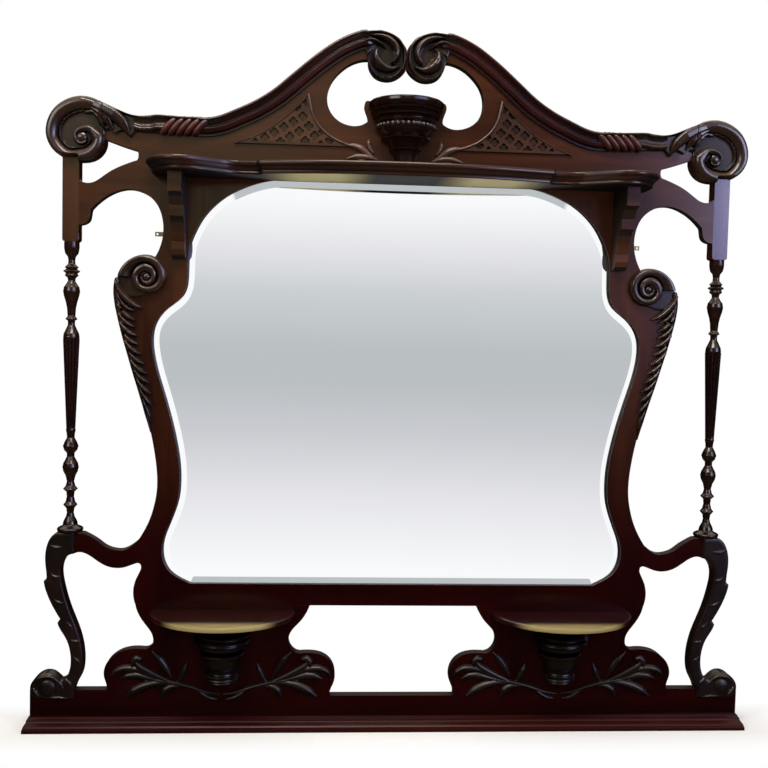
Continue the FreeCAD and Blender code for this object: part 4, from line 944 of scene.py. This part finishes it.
SPRAY = (
    ([(450, 96), (478, 108), (498, 118), (514, 128), (522, 138)], (7, 12, 15, 15, 8), (5, 7, 8, 8.5, 7)),
    ([(512, 144), (520, 144), (527, 137), (528, 127)], (10, 15, 14, 5), (7.5, 9, 8.5, 6)),
    ([(465, 99), (495, 111), (520, 122), (545, 124), (562, 117), (570, 106)], (6, 12, 15, 16, 12, 4),
     (4, 6, 7.5, 8, 7, 4), "soft"),
    ([(470, 98), (495, 104), (518, 109), (538, 108), (552, 102)], (5, 13, 19, 16, 4), (4, 6, 7.5, 7, 4),
     "soft"),
    ([(448, 93), (476, 94), (504, 87), (525, 77), (540, 66)], (7, 15, 20, 19, 8), (5, 7, 8, 8, 5), "soft"),
    ([(420, 87), (446, 87), (462, 79), (470, 65)], (6, 14, 17, 7), (5, 7, 8, 5), "soft"),
    ([(450, 106), (461, 125), (474, 143), (487, 156)], (5, 15, 17, 6), (3, 6, 6.5, 3), "soft"),
    ([(438, 96), (430, 108), (424, 120), (420, 133)], (5, 12, 13, 4), (4, 6, 6.5, 3), "soft"),
    ([(352, 70), (378, 75), (408, 85), (440, 93), (470, 98), (500, 103)], (4, 8, 11, 13, 11, 4),
     (3, 6, 7, 7, 6, 4), "soft"),
    ([(400, 82), (388, 72), (372, 63), (358, 60)], (5, 11, 11, 4), (4, 6, 6, 3), "soft"),
)
spray = [strand(*row) for row in SPRAY]
spray += [strand([(2 * SPRAY_MIDDLE - x, z) for x, z in points], *rest) for points, *rest in SPRAY]
carve("lower_spray", oblong(118, 56, 578, 160), lambda x, z: highest(x, z, spray, -1), 0, leg_finish,
      step=1.1, trim=True)

CENTRE_SPRAY = [strand(*row) for row in (
    ([(62, 1162), (76, 1171), (88, 1179), (102, 1184), (118, 1185)], (5, 12, 14, 11, 4), (5, 8, 9, 8, 5)),
    ([(64, 1172), (70, 1180), (73, 1190), (72, 1197)], (6, 10, 9, 3), (6, 8, 8, 5)),
    ([(56, 1158), (76, 1163), (96, 1163), (117, 1158)], (5, 11, 12, 3), (5, 8, 8, 5)),
    ([(66, 1153), (86, 1154), (104, 1151), (120, 1153)], (4, 9, 9, 3), (5, 7, 7, 4)),
)]
carve("centre_spray", oblong(48, 1146, 125, 1202), lambda x, z: highest(x, z, CENTRE_SPRAY, -1), 0,
      pale_lit_finish, step=0.9, trim=True)

# Lathe work and moulded shelves


def lofted(name, loops, degrees=35):
    """A solid through closed loops of equal count, flat at both ends."""
    count = len(loops[0])
    spots = [mm(*spot) for loop in loops for spot in loop]
    faces = [tuple(range(count)), tuple(len(spots) - count + n for n in range(count))]
    for start in range(0, len(spots) - count, count):
        for n in range(count):
            m = (n + 1) % count
            faces.append((start + n, start + m, start + count + m, start + count + n))
    mesh = bpy.data.meshes.new(name)
    mesh.from_pydata(spots, [], faces)
    smooth(outward(mesh), degrees)
    return mesh


def lathe(name, profile, place, around=48):
    """A piece turned about an upright line at place (x, y) and flat at the wall: (height, radius) pairs."""
    turn = [2 * math.pi * n / around for n in range(around)]
    wall = cad_high.y / MM

    def ring(z, r):
        return [(place[0] + r * math.cos(a), min(place[1] + r * math.sin(a), wall), z) for a in turn]
    return lofted(name, [ring(z, r) for z, r in profile])


def half_lathe(name, profile, x, stilt=0.0, around=40):
    """Half of a turned piece standing out from the boards, carried straight back over the stilt."""
    turn = [math.pi * n / around for n in range(around + 1)]

    def ring(z, r):
        arc = [(x + r * math.cos(a), -stilt - r * math.sin(a), z) for a in turn]
        return [(x + r, 0, z)] + arc + [(x - r, 0, z)]
    return lofted(name, [ring(z, r) for z, r in profile])


def profile_of(node, axis=None):
    """The turned CAD piece's axis (x, y) and its (height, radius) pairs, in mm."""
    low, high = boxes[node]
    x, y = axis or ((low.x + high.x) / 2 / MM, (low.y + high.y) / 2 / MM)
    rows = {}
    for vert in nodes[node].data.vertices:
        z = round(vert.co.z / MM, 1)
        rows[z] = max(rows.get(z, 0), math.hypot(vert.co.x / MM - x, vert.co.y / MM - y))
    return (x, y), sorted(rows.items())


def turned_line(rows, steps):
    """The rows with their steps rounded, but nowhere wider than the widest of them."""
    line = through(rows, steps)
    line[:, 1] = np.minimum(line[:, 1], max(radius for _, radius in rows))
    return line


# The columns: the pins at their ends are left out, and the steps of the drawing rounded.
COLUMN_FOOT, COLUMN_HEAD, PIN_RADIUS = 415, 980, 6.3
column_axis, column_rows = profile_of("column_right")
column_rows = [row for row in column_rows if COLUMN_FOOT < row[0] < COLUMN_HEAD and row[1] > PIN_RADIUS]
_, cap_rows = profile_of("column_cap_right", column_axis)
# The shaft, between these heights, is drawn thinner to make room for its reeds.
SHAFT = (608.0, 788.0)
SHAFT_SHARE = 0.84


def column_radius(height):
    return float(np.interp(height, *np.array(column_rows).T))


shaft_rows = [(z, column_radius(z) * SHAFT_SHARE) for z in np.arange(SHAFT[0] + 5, SHAFT[1], 17)]
waisted_rows = sorted([row for row in column_rows if not SHAFT[0] < row[0] < SHAFT[1]] + shaft_rows)
pair("column_turned", lathe("column", turned_line(waisted_rows, 3), column_axis), turned,
     "turned_mahogany", "column")


def reed_tree():
    """Tapered reeds standing round a shaft."""
    tree, size = new_tree("shaft_reeds", (
        ("Reeds", "Int"), ("Foot", "Vector"), ("Length", "Float"), ("Ring radius", "Float"),
        ("Foot radius", "Float"), ("Head radius", "Float"), ("Lean", "Float")))
    ring = add(tree, "GeometryNodeMeshCircle", {"Vertices": size["Reeds"], "Radius": size["Ring radius"]})
    reed = add(tree, "GeometryNodeMeshCone", {
        "Vertices": 10, "Side Segments": 1, "Fill Segments": 1, "Radius Bottom": size["Foot radius"],
        "Radius Top": size["Head radius"], "Depth": size["Length"]})
    spot = add(tree, "ShaderNodeSeparateXYZ", {0: add(tree, "GeometryNodeInputPosition")})
    angle = add(tree, "ShaderNodeMath", {0: spot.outputs["Y"], 1: spot.outputs["X"]}, operation="ARCTAN2")
    turn = add(tree, "ShaderNodeCombineXYZ", {"Y": size["Lean"], "Z": angle})
    turn = add(tree, "FunctionNodeEulerToRotation", {0: turn})
    reeds = add(tree, "GeometryNodeInstanceOnPoints", {"Points": ring, "Instance": reed, "Rotation": turn})
    reeds = add(tree, "GeometryNodeTransform", {"Geometry": reeds, "Translation": size["Foot"]})
    end_tree(tree, reeds, turned)
    return tree


# The ring that the reeds stand on and their own radii, as shares of the column's radius.
REED_RING, REED_SHARE = 0.75, 0.2
foot_radius, head_radius = column_radius(SHAFT[0]), column_radius(SHAFT[1])
reeds = grown("reeds", reed_tree(), {
    "Reeds": 12, "Foot": mm(*column_axis, SHAFT[0]), "Length": (SHAFT[1] - SHAFT[0]) * MM,
    "Ring radius": foot_radius * REED_RING * MM, "Foot radius": foot_radius * REED_SHARE * MM,
    "Head radius": head_radius * REED_SHARE * MM,
    "Lean": math.atan2(head_radius - foot_radius, SHAFT[1] - SHAFT[0])})
smooth(reeds, 60)
pair("column_reeds", reeds, turned, "turned_mahogany")
pair("cap_turned", lathe("cap", turned_line(cap_rows, 4), column_axis), turned, "turned_mahogany",
     "column_cap")

# The centre bracket: a broad rim, thin rings, a row of small leaves, and a hollow down to its drop.
BOWL = ((1136, 15), (1148, 18.5), (1160, 22), (1170, 24), (1173, 27), (1175, 31), (1177.5, 32),
        (1179.5, 29), (1183, 31), (1189, 37), (1193.5, 43), (1195.5, 48), (1198, 48.5), (1200, 44.5),
        (1204, 48), (1210, 54), (1216, 57), (1223, 57), (1225.5, 55), (1227.5, 60.5), (1230.5, 62),
        (1233, 57.5), (1236, 58.5), (1238.5, 65), (1241.5, 66.5), (1244, 62), (1246.5, 63.5), (1249, 70),
        (1252, 71), (1254.2, 67.5), (1257, 71.5), (1262, 74.5), (1267, 74), (1270, 70))
keep("bowl_turned", half_lathe("bowl", BOWL, 0, 17), turned, "turned_mahogany", "centre_bowl")


def bead_tree():
    """Beads in a half ring, each turned to look outward."""
    tree, size = new_tree("bead_row", (
        ("Beads", "Int"), ("Place", "Vector"), ("Ring radius", "Float"), ("Bead size", "Vector")))
    arc = add(tree, "GeometryNodeCurveArc", {
        "Resolution": 64, "Radius": size["Ring radius"], "Start Angle": math.pi * 1.03,
        "Sweep Angle": math.pi * 0.94}, mode="RADIUS")
    spots = add(tree, "GeometryNodeCurveToPoints", {"Curve": arc, "Count": size["Beads"]}, mode="COUNT")
    ball = add(tree, "GeometryNodeMeshUVSphere", {"Segments": 14, "Rings": 10, "Radius": 1.0})
    turn = add(tree, "FunctionNodeAlignRotationToVector", {"Vector": spots.outputs["Tangent"]}, axis="X")
    beads = add(tree, "GeometryNodeInstanceOnPoints", {
        "Points": spots.outputs["Points"], "Instance": ball, "Rotation": turn, "Scale": size["Bead size"]})
    beads = add(tree, "GeometryNodeTransform", {"Geometry": beads, "Translation": size["Place"]})
    end_tree(tree, beads, carved)
    return tree


beads = grown("bowl_beads", bead_tree(), {
    "Beads": 17, "Place": mm(0, -17, 1219), "Ring radius": 56 * MM, "Bead size": mm(4.9, 5.5, 6)})
keep("bowl_beads", beads, carved, "carved_mahogany")

# The corbels under the lower shelves.
CORBEL_X = 348.0
CORBEL_PIN = 3
corbel_rows = [row for row in profile_of("lower_corbel_right")[1] if row[1] > CORBEL_PIN]
corbel = half_lathe("corbel", through(corbel_rows, 3), CORBEL_X)
pair("corbel_turned", corbel, shaded, "carved_mahogany", "lower_corbel")

# The upper shelf: nosing, hollow and bead under it, all following the shaped front.
SHELF_END = ((0.995, 0.30), (0.985, 0.55), (0.95, 0.80), (0.89, 0.95), (0.82, 0.93), (0.75, 0.77),
             (0.69, 0.62), (0.64, 0.57), (0.575, 0.575))
SHELF_BOW = ((0.56, 0.70), (0.45, 0.80), (0.30, 0.92), (0.15, 0.98), (0, 1))
# The steps of its edge: how far each lies in from the front, and its height above the underside.
SHELF_EDGE = ((15, 0), (13, 0), (11.5, 0.6), (10.6, 2), (10.6, 4), (11.8, 5.2), (12, 6.2), (9.5, 8),
              (7, 11), (6, 14), (4.2, 14.4), (3.8, 15.6), (1.6, 16.2), (0.4, 17.6), (0, 19.6), (0.3, 22),
              (1.4, 24), (3.2, 25), (5, 25))
SHELF_HALF, SHELF_DEPTH = 506, 132
shelf_low = boxes["upper_shelf"][0].z / MM


def shelf_loop(inset, rise):
    """The shelf's outline at one height, drawn in from its edge."""
    half, deep = SHELF_HALF - inset, SHELF_DEPTH - inset
    side = [(half * x, -deep * y) for x, y in np.vstack([through(SHELF_END, 4), through(SHELF_BOW, 4)])]
    right = [(side[0][0], 0)] + side
    return [(x, y, shelf_low + rise) for x, y in right + [(-x, y) for x, y in reversed(right[:-1])]]


shelf_mesh = lofted("upper_shelf", [shelf_loop(*row) for row in SHELF_EDGE], 25)
keep("upper_shelf_moulded", shelf_mesh, shelf_finish, "mahogany", "upper_shelf")

# The lower shelves: half round, with a thumb edge.
LOWER_EDGE = ((6, 0), (4, 0), (1.6, 0.5), (0.3, 2.4), (0, 5), (0.3, 7.4), (1.5, 9.3), (3.8, 10), (6, 10))
LOWER_HALF, LOWER_DEPTH = 146, 124
lower_low = boxes["lower_shelf_right"][0].z / MM


def lower_loop(inset, rise):
    """A lower shelf's outline at one height, drawn in from its edge."""
    half, deep = LOWER_HALF - inset, LOWER_DEPTH - inset
    turn = [math.pi * n / 56 for n in range(57)]
    return [(CORBEL_X + half * math.cos(a), -deep * math.sin(a), lower_low + rise) for a in turn]


lower_mesh = lofted("lower_shelf", [lower_loop(*row) for row in LOWER_EDGE], 50)
pair("lower_shelf_edged", lower_mesh, pale_fronted, "mahogany", "lower_shelf")

for side in ("right", "left"):
    soften("shelf_bracket_" + side, level, 1.2, keep_flush=False)

# Scroll legs: rounded at the edges, marked with small leaves, curled at the foot

LEG_MARKS = [strand(*row) for row in (
    ([(694, 376), (680, 370), (664, 372)], (4, 12, 4), (4, 7, 4), "soft"),
    ([(692, 320), (682, 311), (668, 312)], (4, 11, 4), (4, 7, 4), "soft"),
    ([(686, 266), (673, 259), (663, 257)], (4, 10, 4), (4, 7, 4), "soft"),
    ([(662, 222), (652, 212), (646, 200)], (4, 9, 4), (4, 6.5, 4), "soft"),
    ([(652, 183), (641, 180), (630, 180)], (4, 9, 4), (4, 7, 4), "soft"),
    ([(648, 151), (638, 142), (630, 134)], (4, 9, 4), (4, 6.5, 4), "soft"),
    ([(722, 82), (713, 71), (698, 64.5), (680, 65), (662, 63), (644, 58)], (5, 6, 6, 6, 5, 3),
     (7, 8.5, 8.5, 8, 7, 5)),
    ([(722, 90), (713, 103), (697, 108), (682, 105), (672, 96), (664, 84)], (8, 10, 11, 10, 9, 5),
     (6, 7.5, 8, 8, 7.5, 5), "soft"),
    ([(664, 106), (652, 94), (646, 80)], (6, 10, 4), (6, 7.5, 5), "soft"),
)]
# The foot's curl: its eye, the hollow round it and the button in the middle, by their radii.
FOOT_EYE = (696.0, 84.0)
FOOT_HOLLOW, FOOT_BUTTON = 19, 15
# The foot is lapped over the plinth, whose top lies at this height. Above it the leg is this deep.
PLINTH_TOP = 79.0
LEG_DEPTH = 24.0


def leg_height(x, z):
    """The marks over a low ground, and a button in the round hollow at the foot."""
    made = highest(x, z, LEG_MARKS, 4.0)
    eye = np.hypot(x - FOOT_EYE[0], z - FOOT_EYE[1])
    made = np.where(eye < FOOT_HOLLOW, np.minimum(made, 2.0), made)
    button = 2 + 4 * np.clip(1 - (eye / FOOT_BUTTON) ** 2, 0, 1) ** 0.7
    return np.where(eye < FOOT_BUTTON, button, made)


def leg_back(x, z):
    return np.where(z > PLINTH_TOP, LEG_DEPTH, 0.0)


carve("scroll_leg", outline_of("scroll_leg_right", LEG_DEPTH), leg_height, leg_back, leg_finish, "mahogany",
      step=1.4, fall=8)

# Blind fret: quatrefoils cut into a planted panel

# The cuts stand in rows along the slope; these are the first one and the steps along and across the rows.
FRET_START, FRET_ALONG, FRET_ACROSS = (260.0, 1205.0), (-18.5, 11.0), (-12.0, -18.5)
FRET_MARGIN = 4.5


def fret_tree():
    """A panel with quatrefoils cut into it, kept inside a plain margin."""
    tree, size = new_tree("blind_fret", (
        ("Panel thickness", "Float"), ("Cut depth", "Float"), ("Lobe radius", "Float"),
        ("Lobe spread", "Float")))
    kind = add(tree, "GeometryNodeInputNamedAttribute", {"Name": "part"}, data_type="INT")

    def chosen(number):
        same = add(tree, "FunctionNodeCompare", {2: kind, 3: number}, data_type="INT", operation="EQUAL")
        return add(tree, "GeometryNodeSeparateGeometry", {"Geometry": size["Geometry"], "Selection": same},
                   domain="POINT")

    def prism(flat, depth):
        backwards = add(tree, "FunctionNodeInputVector", vector=(0, 1, 0))
        pushed = add(tree, "GeometryNodeExtrudeMesh", {
            "Mesh": flat, "Offset": backwards, "Offset Scale": depth, "Individual": False})
        pushed = add(tree, "GeometryNodeFlipFaces", {"Mesh": pushed})
        closed = add(tree, "GeometryNodeJoinGeometry", {0: [pushed, flat]})
        return add(tree, "GeometryNodeMergeByDistance", {"Geometry": closed, "Distance": 1e-6})

    panel = prism(chosen(0), size["Panel thickness"])
    field = prism(chosen(1), size["Cut depth"])
    upright_turn = (math.pi / 2, 0, 0)
    lobe = add(tree, "GeometryNodeMeshCylinder", {
        "Vertices": 14, "Radius": size["Lobe radius"], "Depth": 0.03})
    lobe = add(tree, "GeometryNodeTransform", {"Geometry": lobe, "Rotation": upright_turn})
    four = add(tree, "GeometryNodeMeshCircle", {"Vertices": 4, "Radius": size["Lobe spread"]})
    four = add(tree, "GeometryNodeTransform", {"Geometry": four, "Rotation": upright_turn})
    lobes = add(tree, "GeometryNodeInstanceOnPoints", {"Points": four, "Instance": lobe})
    cuts = add(tree, "GeometryNodeInstanceOnPoints", {"Points": chosen(2), "Instance": lobes})
    cuts = add(tree, "GeometryNodeRealizeInstances", {"Geometry": cuts})
    cuts = add(tree, "GeometryNodeMeshBoolean", {"Mesh 2": [cuts, field], "Self Intersection": True},
               operation="INTERSECT", solver="EXACT")
    whole = add(tree, "GeometryNodeMeshBoolean", {
        "Mesh 1": panel, "Mesh 2": cuts, "Self Intersection": True}, operation="DIFFERENCE", solver="EXACT")
    end_tree(tree, whole, level)
    return tree


def inset_loop(loop, distance):
    """The closed outline (anticlockwise) drawn in, without the spots where it would cross itself."""
    ahead = np.roll(loop, -1, axis=0) - np.roll(loop, 1, axis=0)
    ahead /= np.hypot(*ahead.T)[:, None]
    moved = loop + np.column_stack([-ahead[:, 1], ahead[:, 0]]) * distance
    clear = edge_gap(loop, *moved.T) > distance * 0.97
    return moved[clear & within(loop, *moved.T)]


def fret_mesh():
    """The panel's face, the field that takes the cuts, and the places of the cuts, marked 0, 1 and 2."""
    panel = outline_of("fret_panel_right", -5)
    area = sum(a[0] * b[1] - b[0] * a[1] for a, b in zip(panel, np.roll(panel, -1, axis=0)))
    panel = panel if area > 0 else panel[::-1]
    field = inset_loop(even(panel, 4), FRET_MARGIN)
    rows = np.array([(i, j) for i in range(-3, 9) for j in range(-2, 6)])
    places = np.array(FRET_START) + rows @ np.array((FRET_ALONG, FRET_ACROSS))
    places = places[within(panel, *places.T)]
    spots = [mm(x, -5, z) for x, z in panel]
    spots += [mm(x, -5.02, z) for x, z in field]
    spots += [mm(x, -5, z) for x, z in places]
    count = len(panel)
    mesh = bpy.data.meshes.new("fret_lines")
    mesh.from_pydata(spots, [], [tuple(range(count)), tuple(range(count, count + len(field)))])
    marks = mesh.attributes.new("part", "INT", "POINT")
    marks.data.foreach_set("value", [0] * count + [1] * len(field) + [2] * len(places))
    return mesh


fret_sizes = {
    "Panel thickness": 5 * MM, "Cut depth": 4.6 * MM, "Lobe radius": 4.5 * MM, "Lobe spread": 4.9 * MM}
fret = outward(grown("fret", fret_tree(), fret_sizes, fret_mesh()))
smooth(fret, 30)
pair("fret_cut", fret, fret_finish, "mahogany", "fret_panel")
# The panel's curved side and its slope, as (x, z), and the section of the bead that follows each:
# (place across, relief). The slope's bead is half as wide and stands out half as far.
FRET_SIDE = ((108, 1183.5), (128, 1190), (150, 1201), (171, 1219), (184, 1240), (190, 1262), (194, 1282))
FRET_SLOPE = ((196, 1283), (214, 1262), (243.5, 1235), (273, 1213), (302, 1197), (338, 1183.5))
BEAD = ((-2.2, 4.9), (-1.9, 6.6), (-1, 7.8), (0, 8.2), (1, 7.8), (1.9, 6.6), (2.2, 4.9))
thin_bead = [(d * 0.5 + 3, 5 + (r - 5) * 0.5) for d, r in BEAD]
pair("fret_side_bead", moulding("fret_side_bead", through(FRET_SIDE, 5), BEAD), pale_lit_finish, "mahogany")
pair("fret_slope_bead", moulding("fret_slope_bead", through(FRET_SLOPE, 5), thin_bead), level, "mahogany")

# The floor

# How far the floor reaches, and between which distances from the base it turns pure white, before its
# edge shows.
FLOOR_REACH = 14.0
HALF_BASE = cad_high.x
WHITE_FROM, WHITE_TO = 0.01, 0.14
WHITE = (1, 1, 1, 1)


def pale_floor():
    """Pale and matt round the base, pure white to the camera further off, and unseen in the polish."""
    made, tree = new_material("pale_floor")
    spot = add(tree, "ShaderNodeSeparateXYZ", {0: add(tree, "ShaderNodeTexCoord").outputs["Object"]})
    side = add(tree, "ShaderNodeMath", {0: spot.outputs["X"]}, operation="ABSOLUTE")
    side = add(tree, "ShaderNodeMath", {0: side, 1: HALF_BASE}, operation="SUBTRACT")
    deep = add(tree, "ShaderNodeMath", {0: spot.outputs["Y"]}, operation="ABSOLUTE")
    away = add(tree, "ShaderNodeMath", {0: side, 1: deep}, operation="MAXIMUM")
    fade = add(tree, "ShaderNodeMapRange", {"Value": away, "From Min": WHITE_FROM, "From Max": WHITE_TO},
               interpolation_type="SMOOTHSTEP")
    path = add(tree, "ShaderNodeLightPath")
    matt = add(tree, "ShaderNodeBsdfDiffuse", {"Color": linear("f4f3f1")})
    white = add(tree, "ShaderNodeEmission", {"Color": WHITE, "Strength": 1.0})
    seen = add(tree, "ShaderNodeMath", {0: fade, 1: path.outputs["Is Camera Ray"]}, operation="MULTIPLY")
    mixed = add(tree, "ShaderNodeMixShader", {0: seen, 1: matt, 2: white})
    clear = add(tree, "ShaderNodeBsdfTransparent")
    mixed = add(tree, "ShaderNodeMixShader", {0: path.outputs["Is Glossy Ray"], 1: mixed, 2: clear})
    add(tree, "ShaderNodeOutputMaterial", {"Surface": mixed})
    return made


corners = [(x * FLOOR_REACH, y * FLOOR_REACH, 0) for x, y in ((-1, -1), (1, -1), (1, 1), (-1, 1))]
floor_mesh = bpy.data.meshes.new("floor")
floor_mesh.from_pydata(corners, [], [(0, 1, 2, 3)])
floor_mesh.materials.append(pale_floor())
floor = placed("floor", floor_mesh)

# The room round the mirror

# What the mirror sees of the room ahead, whose grey depends on the height of the ray: 0 is 20
# degrees down and 1 is 20 degrees up. Beside it the bevel sees plain white walls.
ROOM = ((0.0, "ffffff"), (0.16, "fafafb"), (0.26, "e6e5ea"), (0.35, "cbccd1"), (0.42, "bcc0c3"),
        (0.47, "bcc0c3"), (0.55, "ccd0d3"), (0.60, "e2e1e6"), (0.645, "f0f0f2"), (0.68, "fafafb"),
        (1.0, "ffffff"))
# Spans are (from, to, fade) in degrees: to the right, and up.
WINDOW = ((-9.5, 18.5, 0.8), (-17.5, 9.5, 0.8))
# What the polish sees: a wall in haze, a cool window on the right, the ceiling and the floor.
PATCHES = (
    (((-4, 3, 4), (9, 26, 3)), "d8ceb4", 0.8),
    (((23, 62, 4), (2, 24, 5)), "868ec6", 9.0),
    (((-11, -3, 3), (6, 20, 4)), "a8c4a0", 1.0),
    (((-200, 200, 1), (46, 90, 20)), "ffe9d2", 1.9),
    (((-200, 200, 1), (-90, -34, 12)), "b8b08a", 0.25),
)
# How strongly the room lights what isn't polished.
ROOM_LIGHT = 0.35


def within_span(tree, turn, rise, span):
    """How far a direction lies in a patch of the room: 1 within its degrees, fading to 0 beside them."""
    shares = []
    for value, (start, end, soft) in zip((turn, rise), span):
        up = add(tree, "ShaderNodeMapRange", {"Value": value, "From Min": start - soft, "From Max": start},
                 interpolation_type="SMOOTHSTEP")
        down = add(tree, "ShaderNodeMapRange", {
            "Value": value, "From Min": end, "From Max": end + soft, "To Min": 1.0, "To Max": 0.0},
            interpolation_type="SMOOTHSTEP")
        shares.append(add(tree, "ShaderNodeMath", {0: up, 1: down}, operation="MULTIPLY"))
    return add(tree, "ShaderNodeMath", {0: shares[0], 1: shares[1]}, operation="MULTIPLY")


def room_round_the_mirror():
    """The world: white to the camera, soft on matt faces, and a room with a window to the polish."""
    world = bpy.data.worlds.new("studio")
    bpy.context.scene.world = world
    world.use_nodes = True
    tree = world.node_tree
    tree.nodes.clear()
    way = add(tree, "ShaderNodeSeparateXYZ", {0: add(tree, "ShaderNodeTexCoord").outputs["Generated"]})
    ahead = add(tree, "ShaderNodeMath", {0: way.outputs["Y"], 1: -1.0}, operation="MULTIPLY")
    turn = add(tree, "ShaderNodeMath", {0: way.outputs["X"], 1: ahead}, operation="ARCTAN2")
    turn = add(tree, "ShaderNodeMath", {0: turn}, operation="DEGREES")
    rise = add(tree, "ShaderNodeMath", {0: way.outputs["Z"]}, operation="ARCSINE")
    rise = add(tree, "ShaderNodeMath", {0: rise}, operation="DEGREES")
    share = add(tree, "ShaderNodeMapRange", {"Value": rise, "From Min": -20.0, "From Max": 20.0})
    grey = add(tree, "ShaderNodeValToRGB", {"Fac": share}, ROOM)
    in_window = within_span(tree, turn, rise, WINDOW)
    seen = add(tree, "ShaderNodeMix", {0: in_window, 6: linear("fbfbfc"), 7: grey},
               data_type="RGBA").outputs[2]
    room = (0, 0, 0)
    for span, colour, strength in PATCHES:
        lit = add(tree, "ShaderNodeVectorMath", {
            0: linear(colour)[:3], "Scale": within_span(tree, turn, rise, span)}, operation="SCALE")
        lit = add(tree, "ShaderNodeVectorMath", {0: lit, "Scale": strength}, operation="SCALE")
        room = add(tree, "ShaderNodeVectorMath", {0: room, 1: lit}, operation="ADD")
    path = add(tree, "ShaderNodeLightPath")
    room = add(tree, "ShaderNodeMix", {0: path.outputs["Is Singular Ray"], 6: room, 7: seen},
               data_type="RGBA")
    glossy = add(tree, "ShaderNodeBackground", {"Color": room.outputs[2], "Strength": 1.0})
    soft = add(tree, "ShaderNodeBackground", {"Color": WHITE, "Strength": ROOM_LIGHT})
    white = add(tree, "ShaderNodeBackground", {"Color": WHITE, "Strength": 1.0})
    mixed = add(tree, "ShaderNodeMixShader", {0: path.outputs["Is Glossy Ray"], 1: soft, 2: glossy})
    mixed = add(tree, "ShaderNodeMixShader", {0: path.outputs["Is Camera Ray"], 1: mixed, 2: white})
    add(tree, "ShaderNodeOutputWorld", {"Surface": mixed})


room_round_the_mirror()

# Lamps and camera


def lamp(name, place, aim, width, height, power, tint):
    """A flat lamp of a size in metres that looks at a spot, its power in watts."""
    data = bpy.data.lights.new(name, "AREA")
    data.shape = "RECTANGLE"
    data.size = width
    data.size_y = height
    data.energy = power
    data.color = linear(tint)[:3]
    made = placed(name, data)
    made.location = place
    made.rotation_euler = (Vector(aim) - Vector(place)).to_track_quat("-Z", "Y").to_euler()


lamp("top", (-0.2, -1.5, 3.0), (0, 0, 0.7), 1.6, 0.5, 62, "fff8f0")
lamp("window", (2.5, -2.6, 1.9), (0, 0, 0.7), 1.3, 1.3, 42, "eef2ff")
lamp("left", (-2.3, -2.6, 2.4), (0, 0, 0.8), 1.8, 1.2, 50, "fffaf2")

# The camera as fitted to the photo: its place in metres, its turns in radians, and the focal length
# and the picture's width in pixels.
CAMERA_PLACE = (-0.17257, -2.01864, 0.82247)
YAW, PITCH, ROLL_ANGLE = -0.070192, 0.055627, 0.023298
FOCAL_PIXELS, PICTURE_PIXELS = 999.947, 768
SENSOR_WIDTH = 36


def turned_by(angle):
    return math.cos(angle), math.sin(angle)


def photo_camera():
    """The camera of the photo. The rows of its turn are the picture's right, down and ahead."""
    (cy, sy), (cp, sp), (cr, sr) = turned_by(YAW), turned_by(PITCH), turned_by(ROLL_ANGLE)
    base = Matrix(((1, 0, 0), (0, 0, -1), (0, 1, 0)))
    turn_y = Matrix(((cy, sy, 0), (-sy, cy, 0), (0, 0, 1)))
    turn_x = Matrix(((1, 0, 0), (0, cp, -sp), (0, sp, cp)))
    turn_r = Matrix(((cr, -sr, 0), (sr, cr, 0), (0, 0, 1)))
    right, down, ahead = turn_r @ turn_x @ base @ turn_y
    data = bpy.data.cameras.new("camera")
    data.sensor_width = SENSOR_WIDTH
    data.lens = FOCAL_PIXELS / PICTURE_PIXELS * SENSOR_WIDTH
    data.clip_start, data.clip_end = 0.05, 60
    made = placed("camera", data)
    turn = Matrix((right, -down, -ahead)).transposed()
    made.matrix_world = Matrix.Translation(CAMERA_PLACE) @ turn.to_4x4()
    bpy.context.scene.camera = made


photo_camera()
view = bpy.context.scene.view_settings
view.view_transform = "Standard"
